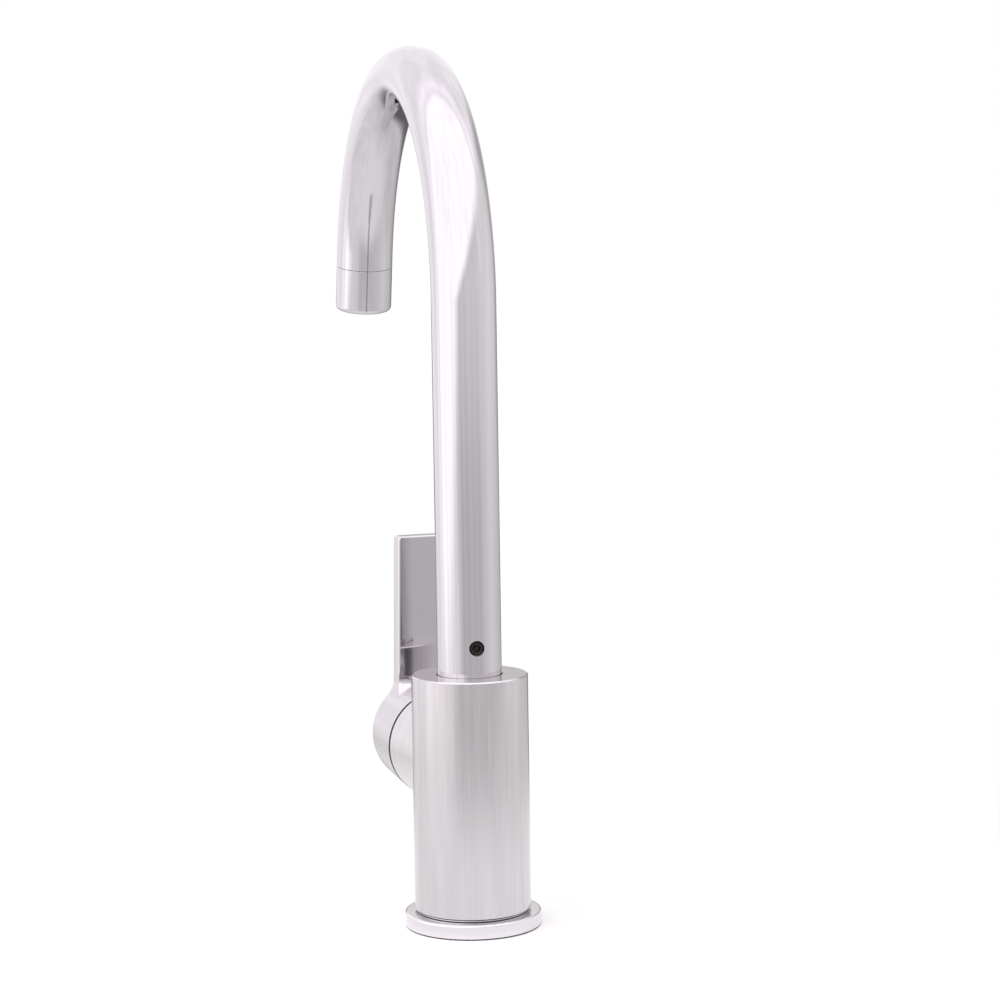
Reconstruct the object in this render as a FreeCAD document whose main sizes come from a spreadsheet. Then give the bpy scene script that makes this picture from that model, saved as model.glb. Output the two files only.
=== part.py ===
"""Gooseneck bar faucet: a swivelling bent tube spout on a round body with one turning lever.

The frame has +Z up and its origin on the deck, at the centre of the round base. At rest the spout
points to -Y, and the valve hub is turned from it by hub_turn about +Z. Lengths are millimetres and
angles are degrees. Each sub-part is one body whose sketches are bound to the sheet of sizes.
"""
import FreeCAD
import Part
import Sketcher
import math
import os
from types import SimpleNamespace

# Driving dimensions: name, value, what it measures.
SIZES = [
    ("tube_diameter", 25.4, "outside of the spout tube and of the outlet collar"),
    ("tube_wall", 1.5, "wall of the spout tube"),
    ("bend_start", 246.5, "height above the deck where the straight leg ends"),
    ("bend_radius", 93.5, "centre-line radius of the gooseneck"),
    ("bend_sweep", 167.3, "turn of the gooseneck"),
    ("tail_length", 6.5, "straight tube after the bend"),
    ("collar_length", 20.2, "outlet collar below its seam"),
    ("collar_seam", 0.2, "open seam between tube and collar"),
    ("collar_round", 2.0, "rounding of the collar's lower rim"),
    ("body_diameter", 46.0, "round body"),
    ("body_rise", 33.8, "top of the body above the hub axis"),
    ("body_foot", 6.5, "lower edge of the body's full diameter"),
    ("edge_break", 0.5, "small bevel on turned edges"),
    ("step_inset", 1.0, "shadow step under the body, in from its side"),
    ("spigot_diameter", 38.0, "spigot that centres the base flange"),
    ("flange_diameter", 54.0, "base flange"),
    ("flange_height", 5.7, "top of the base flange above the deck"),
    ("flange_lift", 0.3, "flange clear of the deck"),
    ("flange_round", 0.8, "rounding of the flange's upper edge"),
    ("gasket_inset", 1.5, "deck gasket, out from the spigot"),
    ("gasket_margin", 1.5, "deck gasket, in from the flange's side"),
    ("gasket_height", 1.5, "deck gasket, thickness"),
    ("hub_diameter", 43.2, "valve hub and lever cap"),
    ("hub_height", 66.2, "hub axis above the deck"),
    ("hub_reach", 34.0, "hub's end face from the body axis"),
    ("hub_turn", 7.5, "hub from the spout's rest direction, about +Z"),
    ("cap_gap", 1.2, "open groove between hub and lever cap"),
    ("cap_length", 21.7, "lever cap along the hub axis"),
    ("blade_thickness", 6.5, "lever blade"),
    ("blade_width", 20.4, "lever blade at its tip"),
    ("blade_taper", 1.15, "lean of each side of the blade, which widens towards the cap"),
    ("blade_top", 83.8, "lever's tip above the hub axis"),
    ("blade_flare", 10.0, "hollow sides where the blade runs into the cap"),
    ("root_round", 5.0, "hollow corner between blade and cap"),
    ("handle_round", 0.8, "rounded edges of the lever"),
    ("cavity_wall", 3.4, "cap wall around the nut"),
    ("cavity_depth", 12.5, "depth of the cap's cavity"),
    ("boss_diameter", 15.0, "boss in the cap that grips the stem"),
    ("boss_setback", 7.5, "boss end behind the cap's open edge"),
    ("socket_diameter", 22.0, "bore that the swivel seals run in"),
    ("socket_depth", 25.0, "floor of that bore below the body's top"),
    ("mouth_gap", 0.4, "radial gap between tube and body mouth"),
    ("mouth_depth", 4.0, "recess in the body top for the tube"),
    ("glide_depth", 5.0, "seat of the upper glide ring below the mouth"),
    ("glide_wall", 1.65, "wall of the upper glide ring"),
    ("glide_lip", 1.0, "lip of the upper glide ring, under the tube"),
    ("nose_step", 0.9, "step from the swivel shaft to its nose"),
    ("nose_length", 3.6, "nose that runs in the lower glide ring"),
    ("clip_height", 1.5, "retaining clip thickness"),
    ("clip_bite", 1.2, "retaining clip groove in the body"),
    ("clip_lip", 0.8, "lip under the clip on the swivel shaft"),
    ("clip_gap_angle", 40.0, "open part of the retaining clip"),
    ("shaft_bore", 12.0, "waterway through the swivel adapter"),
    ("adapter_rise", 24.0, "swivel adapter above the body's top"),
    ("seal_section", 2.0, "O-ring section"),
    ("seal_room", 2.5, "O-ring groove width"),
    ("seal_pitch", 4.2, "between the two swivel O-rings"),
    ("screw_rise", 11.7, "spout grub screw above the body's top"),
    ("screw_diameter", 6.0, "spout grub screw"),
    ("screw_length", 5.0, "spout grub screw"),
    ("screw_recess", 0.8, "spout grub screw below the tube's surface"),
    ("screw_key", 3.0, "hexagon socket of the spout grub screw"),
    ("lever_screw_diameter", 5.0, "lever grub screw"),
    ("lever_screw_length", 6.0, "lever grub screw"),
    ("lever_screw_key", 2.5, "hexagon socket of the lever grub screw"),
    ("lever_screw_setback", 5.0, "lever grub screw behind the cap's end"),
    ("port_diameter", 9.0, "hose port, at the crests of an M10x1 thread"),
    ("port_depth", 12.0, "hose port"),
    ("port_spacing", 17.0, "between the two hose ports"),
    ("port_offset", 2.0, "hose ports towards the hub"),
    ("stud_diameter", 6.8, "stud hole, at the crests of an M8 thread"),
    ("stud_depth", 15.0, "stud hole"),
    ("stud_offset", 9.5, "stud hole away from the hub"),
    ("feed_diameter", 5.6, "water passages to the cartridge"),
    ("outlet_diameter", 6.4, "water passage from the cartridge"),
    ("riser_diameter", 7.0, "water passage up to the spout"),
    ("seat_distance", 14.0, "cartridge seat from the body axis"),
    ("cartridge_diameter", 34.6, "cartridge"),
    ("cartridge_shoulder", 15.0, "cartridge shoulder from its seat"),
    ("cartridge_top", 2.8, "wall under the cartridge shoulder"),
    ("cartridge_wall", 3.3, "side wall of the cartridge"),
    ("neck_diameter", 18.0, "cartridge neck"),
    ("neck_length", 7.0, "cartridge neck"),
    ("base_height", 3.0, "cartridge base plate"),
    ("pin_diameter", 3.0, "locating pins of the cartridge base"),
    ("pin_length", 2.0, "locating pins of the cartridge base"),
    ("pin_radius", 14.5, "locating pins from the hub axis"),
    ("disc_diameter", 27.0, "ceramic discs"),
    ("disc_height", 3.0, "ceramic discs"),
    ("inlet_radius", 9.6, "inlet ports of the discs from the hub axis"),
    ("inlet_half_angle", 28.0, "inlet ports either side of straight down"),
    ("port_seal_width", 1.5, "ring seals under the cartridge base"),
    ("port_seal_height", 1.6, "ring seals under the cartridge base"),
    ("sector_angle", 56.0, "water chamber in the moving disc"),
    ("sector_margin", 17.5, "centre of the first inlet from the closed chamber's edge"),
    ("sector_depth", 1.6, "water chamber in the moving disc"),
    ("carrier_diameter", 23.0, "driver of the moving disc"),
    ("lug_angle", 30.0, "stop lug of the driver"),
    ("lug_height", 2.2, "stop lug of the driver, out from its side"),
    ("handle_travel", 90.0, "turn of the lever from off to hot"),
    ("stop_play", 1.0, "play at each stop"),
    ("tab_width", 4.0, "drive tabs between driver and moving disc"),
    ("tab_depth", 1.2, "drive tabs between driver and moving disc"),
    ("stem_diameter", 10.0, "cartridge stem"),
    ("stem_foot", 9.0, "square foot of the stem"),
    ("stem_square", 7.0, "square end of the stem"),
    ("stem_seat", 1.0, "round part of the stem beyond the cartridge's neck"),
    ("stem_seal_section", 1.6, "stem O-ring section"),
    ("nut_bore_thread", 37.1, "retaining thread in the hub"),
    ("nut_face", 2.0, "slotted face of the nut beyond the hub"),
    ("nut_slot", 4.0, "wrench slots in the nut"),
    ("insert_thread", 20.0, "thread at the tube's end"),
    ("outlet_throat", 17.4, "waterway through the collar"),
    ("chamber_diameter", 21.0, "aerator chamber in the collar"),
    ("chamber_floor", 9.0, "aerator chamber from the tube's end"),
    ("washer_height", 1.5, "aerator washer"),
    ("washer_width", 2.9, "aerator washer, across its section"),
    ("aerator_recess", 1.0, "aerator face above the collar's rim"),
    ("aerator_cell", 1.7, "holes in the aerator face"),
    ("aerator_pitch", 2.5, "between the rings of holes"),
    ("aerator_cell_depth", 3.0, "holes in the aerator face"),
    ("screen_rise", 3.2, "dome of the aerator screen"),
    ("screen_wall", 0.5, "aerator screen"),
    ("shaft_slack", 0.5, "swivel shaft within its bore, where only the O-rings touch"),
    ("loose_gap", 0.2, "clearance of parts that pass each other without running together"),
    ("slip", 0.05, "radial clearance of running and sliding fits"),
    ("face_gap", 0.05, "clearance between stacked faces"),
]
AERATOR_RINGS = 3
CELLS_PER_RING = 6
FULL_TURN = 360.0
QUARTER_TURN = 90.0
HEXAGON_SIDES = 6
SMALLEST_CHANGE = 1e-3


class Dim:
    """A size with its value and the expression that binds it to the sheet."""

    def __init__(self, value, text):
        self.value = value
        self.text = text

    def __add__(self, other):
        other = as_dim(other)
        return Dim(self.value + other.value, f"({self.text} + {other.text})")

    def __sub__(self, other):
        other = as_dim(other)
        return Dim(self.value - other.value, f"({self.text} - {other.text})")

    def __mul__(self, other):
        other = as_dim(other)
        return Dim(self.value * other.value, f"({self.text} * {other.text})")

    def __truediv__(self, other):
        other = as_dim(other)
        return Dim(self.value / other.value, f"({self.text} / {other.text})")

    def __neg__(self):
        return Dim(-self.value, f"(0 - {self.text})")

    def __radd__(self, other):
        return as_dim(other) + self

    def __rsub__(self, other):
        return as_dim(other) - self

    def __rmul__(self, other):
        return as_dim(other) * self


def as_dim(number):
    """Wraps a plain number, and leaves a size as it is."""
    if isinstance(number, Dim):
        return number
    return Dim(float(number), f"({number})")


def sine(angle):
    return Dim(math.sin(math.radians(angle.value)), f"sin({angle.text})")


def cosine(angle):
    return Dim(math.cos(math.radians(angle.value)), f"cos({angle.text})")


def root(square):
    return Dim(math.sqrt(square.value), f"sqrt({square.text})")


def write_sheet(document):
    """Fills the sheet and returns its sizes under their own names."""
    sheet = document.addObject("Spreadsheet::Sheet", "Sizes")
    sizes = {}
    for row, (alias, value, meaning) in enumerate(SIZES, start=1):
        sheet.set(f"A{row}", alias)
        sheet.set(f"B{row}", str(value))
        sheet.set(f"C{row}", meaning)
        sheet.setAlias(f"B{row}", alias)
        sizes[alias] = Dim(value, f"Sizes.{alias}")
    document.recompute()
    return SimpleNamespace(**sizes)


doc = FreeCAD.newDocument("GooseneckBarFaucet")
size = write_sheet(doc)
pieces = []

# Sizes that several sub-parts share.
TUBE_RADIUS = size.tube_diameter / 2
TUBE_BORE = TUBE_RADIUS - size.tube_wall
BODY_RADIUS = size.body_diameter / 2
HUB_RADIUS = size.hub_diameter / 2
SOCKET_RADIUS = size.socket_diameter / 2
BODY_TOP = size.hub_height + size.body_rise
SOCKET_FLOOR = BODY_TOP - size.socket_depth
MOUTH_FLOOR = BODY_TOP - size.mouth_depth
GLIDE_FLOOR = MOUTH_FLOOR - size.glide_depth
SHAFT_RADIUS = SOCKET_RADIUS - size.shaft_slack
GLIDE_RADIUS = SHAFT_RADIUS + size.glide_wall
TUBE_FOOT = MOUTH_FLOOR + size.glide_lip + size.face_gap
NOSE_RADIUS = SHAFT_RADIUS - size.nose_step
NOSE_TOP = SOCKET_FLOOR + size.nose_length + size.face_gap
CLIP_FLOOR = NOSE_TOP + size.clip_lip + 2 * size.face_gap
CLIP_RADIUS = SOCKET_RADIUS + size.clip_bite
SEAL_GROOVE = SOCKET_RADIUS - size.seal_section - 2 * size.slip
CLIP_ROOM = CLIP_FLOOR + size.clip_height + size.loose_gap
SEAL_MIDDLE = (CLIP_ROOM + GLIDE_FLOOR) / 2
SEAL_HEIGHTS = (SEAL_MIDDLE - size.seal_pitch / 2, SEAL_MIDDLE + size.seal_pitch / 2)
ADAPTER_TOP = BODY_TOP + size.adapter_rise
SCREW_HEIGHT = BODY_TOP + size.screw_rise
CAP_START = size.hub_reach + size.cap_gap
CAP_END = CAP_START + size.cap_length
BLADE_INNER = CAP_END - size.blade_thickness
CAVITY_RADIUS = HUB_RADIUS - size.cavity_wall
CAVITY_END = CAP_START + size.cavity_depth
STEM_RADIUS = size.stem_diameter / 2
STEM_END = CAP_END - size.lever_screw_setback + size.lever_screw_diameter / 2
LEVER_SCREW_Z = CAP_END - size.lever_screw_setback
CARTRIDGE_RADIUS = size.cartridge_diameter / 2
BASE_TOP = size.seat_distance + size.face_gap + size.base_height
FIXED_DISC_START = BASE_TOP + size.face_gap
MOVING_DISC_START = FIXED_DISC_START + size.disc_height + size.face_gap
CARRIER_START = MOVING_DISC_START + size.disc_height + size.face_gap
SHOULDER = size.seat_distance + size.cartridge_shoulder
CARRIER_ROOF = SHOULDER - size.cartridge_top
DISC_ROOM = CARTRIDGE_RADIUS - size.cartridge_wall
NECK_RADIUS = size.neck_diameter / 2
NUT_START = SHOULDER + size.face_gap
NUT_RADIUS = size.nut_bore_thread / 2 - size.slip
INLET_X = size.inlet_radius * sine(size.inlet_half_angle)
INLET_Y = -size.inlet_radius * cosine(size.inlet_half_angle)
FEED_X = (size.port_spacing / 2 + INLET_X) / 2
SCREW_RADIUS = size.screw_diameter / 2
LEVER_SCREW_RADIUS = size.lever_screw_diameter / 2
TUBE_END_Y = -(size.bend_radius * (1 - cosine(size.bend_sweep)) + size.tail_length * sine(size.bend_sweep))
TUBE_END_Z = (
    size.bend_start + size.bend_radius * sine(size.bend_sweep) + size.tail_length * cosine(size.bend_sweep)
)
CHAMBER_RADIUS = size.chamber_diameter / 2
AERATOR_TOP = size.chamber_floor + size.washer_height + 2 * size.face_gap
AERATOR_END = size.collar_seam + size.collar_length - size.aerator_recess


def new_body(label):
    """Starts a sub-part, whose label names its file."""
    body = doc.addObject("PartDesign::Body", label)
    body.Label = label
    pieces.append(body)
    return body


def place(body, origin, turn, tilt):
    """Binds a body's place: a tilt about X first, then a turn about Z."""
    place_x, place_y, place_z = (as_dim(value).text for value in origin)
    position = f"create(<<vector>>; {place_x}; {place_y}; {place_z})"
    rotation = f"create(<<rotation>>; {as_dim(turn).text}; 0; {as_dim(tilt).text})"
    body.setExpression("Placement", f"create(<<placement>>; {position}; {rotation})")


def place_on_hub(body):
    """Puts a body's Z along the hub axis, away from the body, with its Y up."""
    place(body, (0, 0, size.hub_height), size.hub_turn, QUARTER_TURN)


def place_on_tube_end(body):
    """Puts a body's Z along the outlet, with its origin at the tube's end."""
    place(body, (0, TUBE_END_Y, TUBE_END_Z), 0, size.bend_sweep)


def sketch_on(body, role, offset=None):
    """Adds a sketch on one of the body's own planes, moved along its normal."""
    sketch = body.newObject("Sketcher::SketchObject", f"{body.Label}_sketch")
    plane = next(item for item in body.Origin.OriginFeatures if item.Role == role)
    sketch.AttachmentSupport = [(plane, "")]
    sketch.MapMode = "FlatFace"
    if offset is not None:
        sketch.setExpression("AttachmentOffset.Base.z", as_dim(offset).text)
    return sketch


def constrain(sketch, kind, elements, value):
    """Adds a dimension and binds it to its expression."""
    name = f"{kind}{sketch.ConstraintCount}"
    index = sketch.addConstraint(Sketcher.Constraint(kind, *elements, value.value))
    sketch.renameConstraint(index, name)
    sketch.setExpression(f"Constraints.{name}", value.text)


def pin_point(sketch, geometry, point, x, y):
    """Fixes a point by its distances from the sketch's origin."""
    for kind, value in (("DistanceX", as_dim(x)), ("DistanceY", as_dim(y))):
        constrain(sketch, kind, (-1, 1, geometry, point), value)


def circle(sketch, radius, x=0, y=0):
    """Draws a circle."""
    radius, x, y = as_dim(radius), as_dim(x), as_dim(y)
    centre = FreeCAD.Vector(x.value, y.value, 0)
    geometry = sketch.addGeometry(Part.Circle(centre, FreeCAD.Vector(0, 0, 1), radius.value))
    pin_point(sketch, geometry, 3, x, y)
    constrain(sketch, "Radius", (geometry,), radius)


def arc_between(start, end, radius, side):
    """Returns the arc under a half circle whose centre is left (1) or right (-1) of its chord."""
    chord = end - start
    left = FreeCAD.Vector(-chord.y, chord.x, 0).normalize()
    rise = math.sqrt(radius**2 - (chord.Length / 2) ** 2)
    centre = (start + end) / 2 + left * rise * side
    first, last = (start, end) if side > 0 else (end, start)
    angles = [math.atan2(point.y - centre.y, point.x - centre.x) for point in (first, last)]
    return Part.ArcOfCircle(Part.Circle(centre, FreeCAD.Vector(0, 0, 1), radius), *angles)


def outline(sketch, corners):
    """Draws a closed loop through (x, y) corners.

    A corner (x, y, radius, side) is reached by an arc, whose centre is left (1) or right (-1) of
    the way to it.
    """
    points = [FreeCAD.Vector(as_dim(corner[0]).value, as_dim(corner[1]).value, 0) for corner in corners]
    ends = []
    for number, corner in enumerate(corners):
        start, end = points[number - 1], points[number]
        if len(corner) == 2:
            geometry = sketch.addGeometry(Part.LineSegment(start, end))
            ends.append((geometry, 1, 2))
        else:
            radius, side = as_dim(corner[2]), corner[3]
            geometry = sketch.addGeometry(arc_between(start, end, radius.value, side))
            ends.append((geometry, 1, 2) if side > 0 else (geometry, 2, 1))
    for number, (geometry, _, last) in enumerate(ends):
        following, first, _ = ends[(number + 1) % len(ends)]
        sketch.addConstraint(Sketcher.Constraint("Coincident", geometry, last, following, first))
    for (geometry, _, last), corner in zip(ends, corners):
        pin_point(sketch, geometry, last, corner[0], corner[1])
        if len(corner) > 2:
            constrain(sketch, "Radius", (geometry,), as_dim(corner[2]))


def add_feature(body, kind, sketch, **settings):
    """Adds a sketched feature and checks that it adds or takes material as its kind says."""
    before = body.Shape.Volume if body.Tip else 0.0
    feature = body.newObject(f"PartDesign::{kind}", f"{body.Label}_{kind.lower()}")
    feature.Profile = sketch
    for name, value in settings.items():
        if isinstance(value, Dim):
            feature.setExpression(name, value.text)
        else:
            setattr(feature, name, value)
    doc.recompute()
    takes = kind in ("Pocket", "Groove", "SubtractivePipe")
    change = body.Shape.Volume - before
    if (change < 0) != takes or abs(change) < SMALLEST_CHANGE:
        raise RuntimeError(f"{feature.Name} changed the volume by {change:.4f}")
    return feature


def revolve(body, corners, kind="Revolution"):
    """Turns or grooves a profile of (radius, height) corners about the body's Z."""
    sketch = sketch_on(body, "XZ_Plane")
    outline(sketch, corners)
    add_feature(body, kind, sketch, ReferenceAxis=(sketch, ["V_Axis"]), Angle=FULL_TURN)


def turned(label, corners):
    """Makes a sub-part that is one turned profile."""
    body = new_body(label)
    revolve(body, corners)
    return body


def ring_profile(inner, outer, bottom, top):
    """Corners of a plain ring's section."""
    return [(inner, bottom), (outer, bottom), (outer, top), (inner, top)]


def turned_seal(label, inner, section, height):
    """Makes an O-ring that lies on the radius inner, centred at a height."""
    body = new_body(label)
    sketch = sketch_on(body, "XZ_Plane")
    circle(sketch, section / 2, inner + section / 2, height)
    add_feature(body, "Revolution", sketch, ReferenceAxis=(sketch, ["V_Axis"]), Angle=FULL_TURN)
    return body


def square(sketch, across):
    """Draws a square about the sketch's origin."""
    half = across / 2
    outline(sketch, [(half, -half), (half, half), (-half, half), (-half, -half)])


def hexagon(sketch, across, x, y):
    """Draws a hexagon of a given size across its flats."""
    side_angle = FULL_TURN / HEXAGON_SIDES
    circle_radius = across / 2 / cosine(as_dim(side_angle / 2))
    corners = []
    for number in range(HEXAGON_SIDES):
        angle = as_dim(side_angle * number)
        corners.append((x + circle_radius * cosine(angle), y + circle_radius * sine(angle)))
    outline(sketch, corners)


def edges_where(shape, wanted):
    """Names the edges whose middle point is wanted."""
    names = []
    for number, edge in enumerate(shape.Edges, start=1):
        middle = edge.valueAt((edge.FirstParameter + edge.LastParameter) / 2)
        if wanted(middle):
            names.append(f"Edge{number}")
    return names


def round_edges(body, radius, wanted):
    """Fillets the edges of the body whose middle point is wanted."""
    tip = body.Tip
    names = edges_where(tip.Shape, wanted)
    fillet = body.newObject("PartDesign::Fillet", f"{body.Label}_fillet")
    fillet.Base = (tip, names)
    fillet.setExpression("Radius", radius.text)
    doc.recompute()
    return fillet


# The base


def build_base():
    """The flange on the deck and the gasket in its underside."""
    side = size.flange_diameter / 2
    gasket_inner = size.spigot_diameter / 2 + size.gasket_inset
    gasket_outer = side - size.gasket_margin
    turned("base_gasket", ring_profile(gasket_inner, gasket_outer, 0, size.gasket_height))
    bore = size.spigot_diameter / 2 + size.slip
    recess_top = size.gasket_height + size.face_gap
    turned(
        "base_flange",
        [
            (bore, size.flange_lift),
            (gasket_inner - size.slip, size.flange_lift),
            (gasket_inner - size.slip, recess_top),
            (gasket_outer + size.slip, recess_top),
            (gasket_outer + size.slip, size.flange_lift),
            (side, size.flange_lift),
            (side, size.flange_height - size.flange_round),
            (side - size.flange_round, size.flange_height, size.flange_round, 1),
            (bore, size.flange_height),
        ],
    )


# The body


def build_body_casting():
    """The chromed brass body with its hub, bores, passages and threaded holes."""
    body = new_body("body_casting")
    place(body, (0, 0, 0), size.hub_turn, 0)
    spigot = size.spigot_diameter / 2
    step = BODY_RADIUS - size.step_inset
    step_bottom = size.flange_height + size.face_gap
    bevel = size.edge_break
    revolve(
        body,
        [
            (0, 0),
            (spigot, 0),
            (spigot, step_bottom),
            (step, step_bottom),
            (step, size.body_foot),
            (BODY_RADIUS - bevel, size.body_foot),
            (BODY_RADIUS, size.body_foot + bevel),
            (BODY_RADIUS, BODY_TOP - bevel),
            (BODY_RADIUS - bevel, BODY_TOP),
            (0, BODY_TOP),
        ],
    )
    hub = sketch_on(body, "XZ_Plane")
    circle(hub, HUB_RADIUS, 0, size.hub_height)
    add_feature(body, "Pad", hub, Length=size.hub_reach)
    cut_spout_socket(body)
    cut_cartridge_seat(body)
    cut_base_holes(body)
    cut_feeds(body)


def cut_spout_socket(body):
    """The stepped bore for the spout, with the clip's groove and the riser below it."""
    mouth = TUBE_RADIUS + size.mouth_gap
    guide = GLIDE_RADIUS + size.slip
    riser = size.riser_diameter / 2
    riser_floor = size.hub_height - size.outlet_diameter / 2
    above = BODY_TOP + size.mouth_depth
    revolve(
        body,
        [
            (0, riser_floor),
            (riser, riser_floor),
            (riser, SOCKET_FLOOR),
            (SOCKET_RADIUS, SOCKET_FLOOR),
            (SOCKET_RADIUS, CLIP_FLOOR - size.face_gap),
            (CLIP_RADIUS, CLIP_FLOOR - size.face_gap),
            (CLIP_RADIUS, CLIP_ROOM),
            (SOCKET_RADIUS, CLIP_ROOM),
            (SOCKET_RADIUS, GLIDE_FLOOR),
            (guide, GLIDE_FLOOR),
            (guide, MOUTH_FLOOR),
            (mouth, MOUTH_FLOOR),
            (mouth, above),
            (0, above),
        ],
        "Groove",
    )


def cut_cartridge_seat(body):
    """The hub's bore: thread for the nut, bore for the cartridge, pin holes and water ports."""
    face = size.hub_reach
    thread = sketch_on(body, "XZ_Plane", face)
    circle(thread, size.nut_bore_thread / 2, 0, size.hub_height)
    add_feature(body, "Pocket", thread, Length=face - SHOULDER + size.face_gap)
    bore = sketch_on(body, "XZ_Plane", face)
    circle(bore, CARTRIDGE_RADIUS + size.slip, 0, size.hub_height)
    add_feature(body, "Pocket", bore, Length=face - size.seat_distance)
    pins = sketch_on(body, "XZ_Plane", size.seat_distance)
    for side in (-1, 1):
        circle(pins, size.pin_diameter / 2 + size.slip, side * size.pin_radius, size.hub_height)
    add_feature(body, "Pocket", pins, Length=size.pin_length + size.face_gap)
    outlet = sketch_on(body, "XZ_Plane", size.seat_distance)
    circle(outlet, size.outlet_diameter / 2, 0, size.hub_height)
    add_feature(body, "Pocket", outlet, Length=size.seat_distance)


def cut_base_holes(body):
    """The two hose ports and the stud hole, from below."""
    ports = sketch_on(body, "XY_Plane")
    for side in (-1, 1):
        circle(ports, size.port_diameter / 2, side * size.port_spacing / 2, -size.port_offset)
    add_feature(body, "Pocket", ports, Length=size.port_depth, Reversed=True)
    stud = sketch_on(body, "XY_Plane")
    circle(stud, size.stud_diameter / 2, 0, size.stud_offset)
    add_feature(body, "Pocket", stud, Length=size.stud_depth, Reversed=True)


def cut_feeds(body):
    """Each hose port's passage: up from the port, then out to the cartridge seat."""
    feed = size.feed_diameter / 2
    level = size.hub_height + INLET_Y
    rise = sketch_on(body, "XY_Plane", size.port_depth)
    across = sketch_on(body, "XZ_Plane", size.seat_distance)
    for side in (-1, 1):
        circle(rise, feed, side * FEED_X, -size.port_offset)
        circle(across, feed, side * INLET_X, level)
    add_feature(body, "Pocket", rise, Length=level + feed - size.port_depth, Reversed=True)
    add_feature(body, "Pocket", across, Length=size.seat_distance - size.port_offset + feed)


# The spout's bearing in the body


def build_swivel_rings():
    """The two glide rings and the clip that stay in the body."""
    shaft = SHAFT_RADIUS + size.slip
    lip = TUBE_RADIUS + size.mouth_gap - 2 * size.slip
    turned(
        "upper_glide_ring",
        [
            (shaft, GLIDE_FLOOR + size.face_gap),
            (GLIDE_RADIUS, GLIDE_FLOOR + size.face_gap),
            (GLIDE_RADIUS, MOUTH_FLOOR),
            (lip, MOUTH_FLOOR),
            (lip, MOUTH_FLOOR + size.glide_lip),
            (shaft, MOUTH_FLOOR + size.glide_lip),
        ],
    )
    nose = NOSE_RADIUS + size.slip
    outside = SOCKET_RADIUS - size.slip
    floor = SOCKET_FLOOR
    turned("lower_glide_ring", ring_profile(nose, outside, floor, floor + size.nose_length))
    build_clip(NOSE_RADIUS + 3 * size.slip, CLIP_RADIUS - size.slip)


def build_clip(inner, outer):
    """A split ring: a plain ring with a wedge taken out of it."""
    body = new_body("spout_clip")
    revolve(body, ring_profile(inner, outer, CLIP_FLOOR, CLIP_FLOOR + size.clip_height))
    wedge = sketch_on(body, "XY_Plane", CLIP_FLOOR)
    half = size.clip_gap_angle / 2
    reach = 2 * outer
    side_x, side_y = reach * sine(half), reach * cosine(half)
    outline(wedge, [(0, 0), (side_x, side_y), (-side_x, side_y)])
    add_feature(body, "Pocket", wedge, Length=size.clip_height, Reversed=True)


# The spout


def build_spout_tube():
    """The bent tube, swept along its leg, its bend and its short straight end."""
    body = new_body("spout_tube")
    path = sketch_on(body, "YZ_Plane")
    foot = FreeCAD.Vector(0, TUBE_FOOT.value, 0)
    start = FreeCAD.Vector(0, size.bend_start.value, 0)
    centre = FreeCAD.Vector(-size.bend_radius.value, size.bend_start.value, 0)
    sweep = math.radians(size.bend_sweep.value)
    bend = Part.Circle(centre, FreeCAD.Vector(0, 0, 1), size.bend_radius.value)
    leg = path.addGeometry(Part.LineSegment(foot, start))
    arc = path.addGeometry(Part.ArcOfCircle(bend, 0, sweep))
    arc_end = path.Geometry[arc].EndPoint
    end = FreeCAD.Vector(TUBE_END_Y.value, TUBE_END_Z.value, 0)
    tail = path.addGeometry(Part.LineSegment(arc_end, end))
    path.addConstraint(Sketcher.Constraint("Coincident", leg, 2, arc, 1))
    path.addConstraint(Sketcher.Constraint("Coincident", arc, 2, tail, 1))
    pin_point(path, leg, 1, 0, TUBE_FOOT)
    pin_point(path, leg, 2, 0, size.bend_start)
    pin_point(path, arc, 3, -size.bend_radius, size.bend_start)
    pin_point(path, tail, 2, TUBE_END_Y, TUBE_END_Z)
    end_of_bend = -size.bend_radius * (1 - cosine(size.bend_sweep))
    constrain(path, "DistanceX", (-1, 1, arc, 2), end_of_bend)
    section = sketch_on(body, "XY_Plane", TUBE_FOOT)
    circle(section, TUBE_RADIUS)
    circle(section, TUBE_BORE)
    doc.recompute()
    add_feature(body, "AdditivePipe", section, Spine=(path, ["Edge1", "Edge2", "Edge3"]))
    hole = sketch_on(body, "XZ_Plane")
    circle(hole, SCREW_RADIUS + size.slip, 0, SCREW_HEIGHT)
    add_feature(body, "Pocket", hole, Length=size.tube_diameter)


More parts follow.
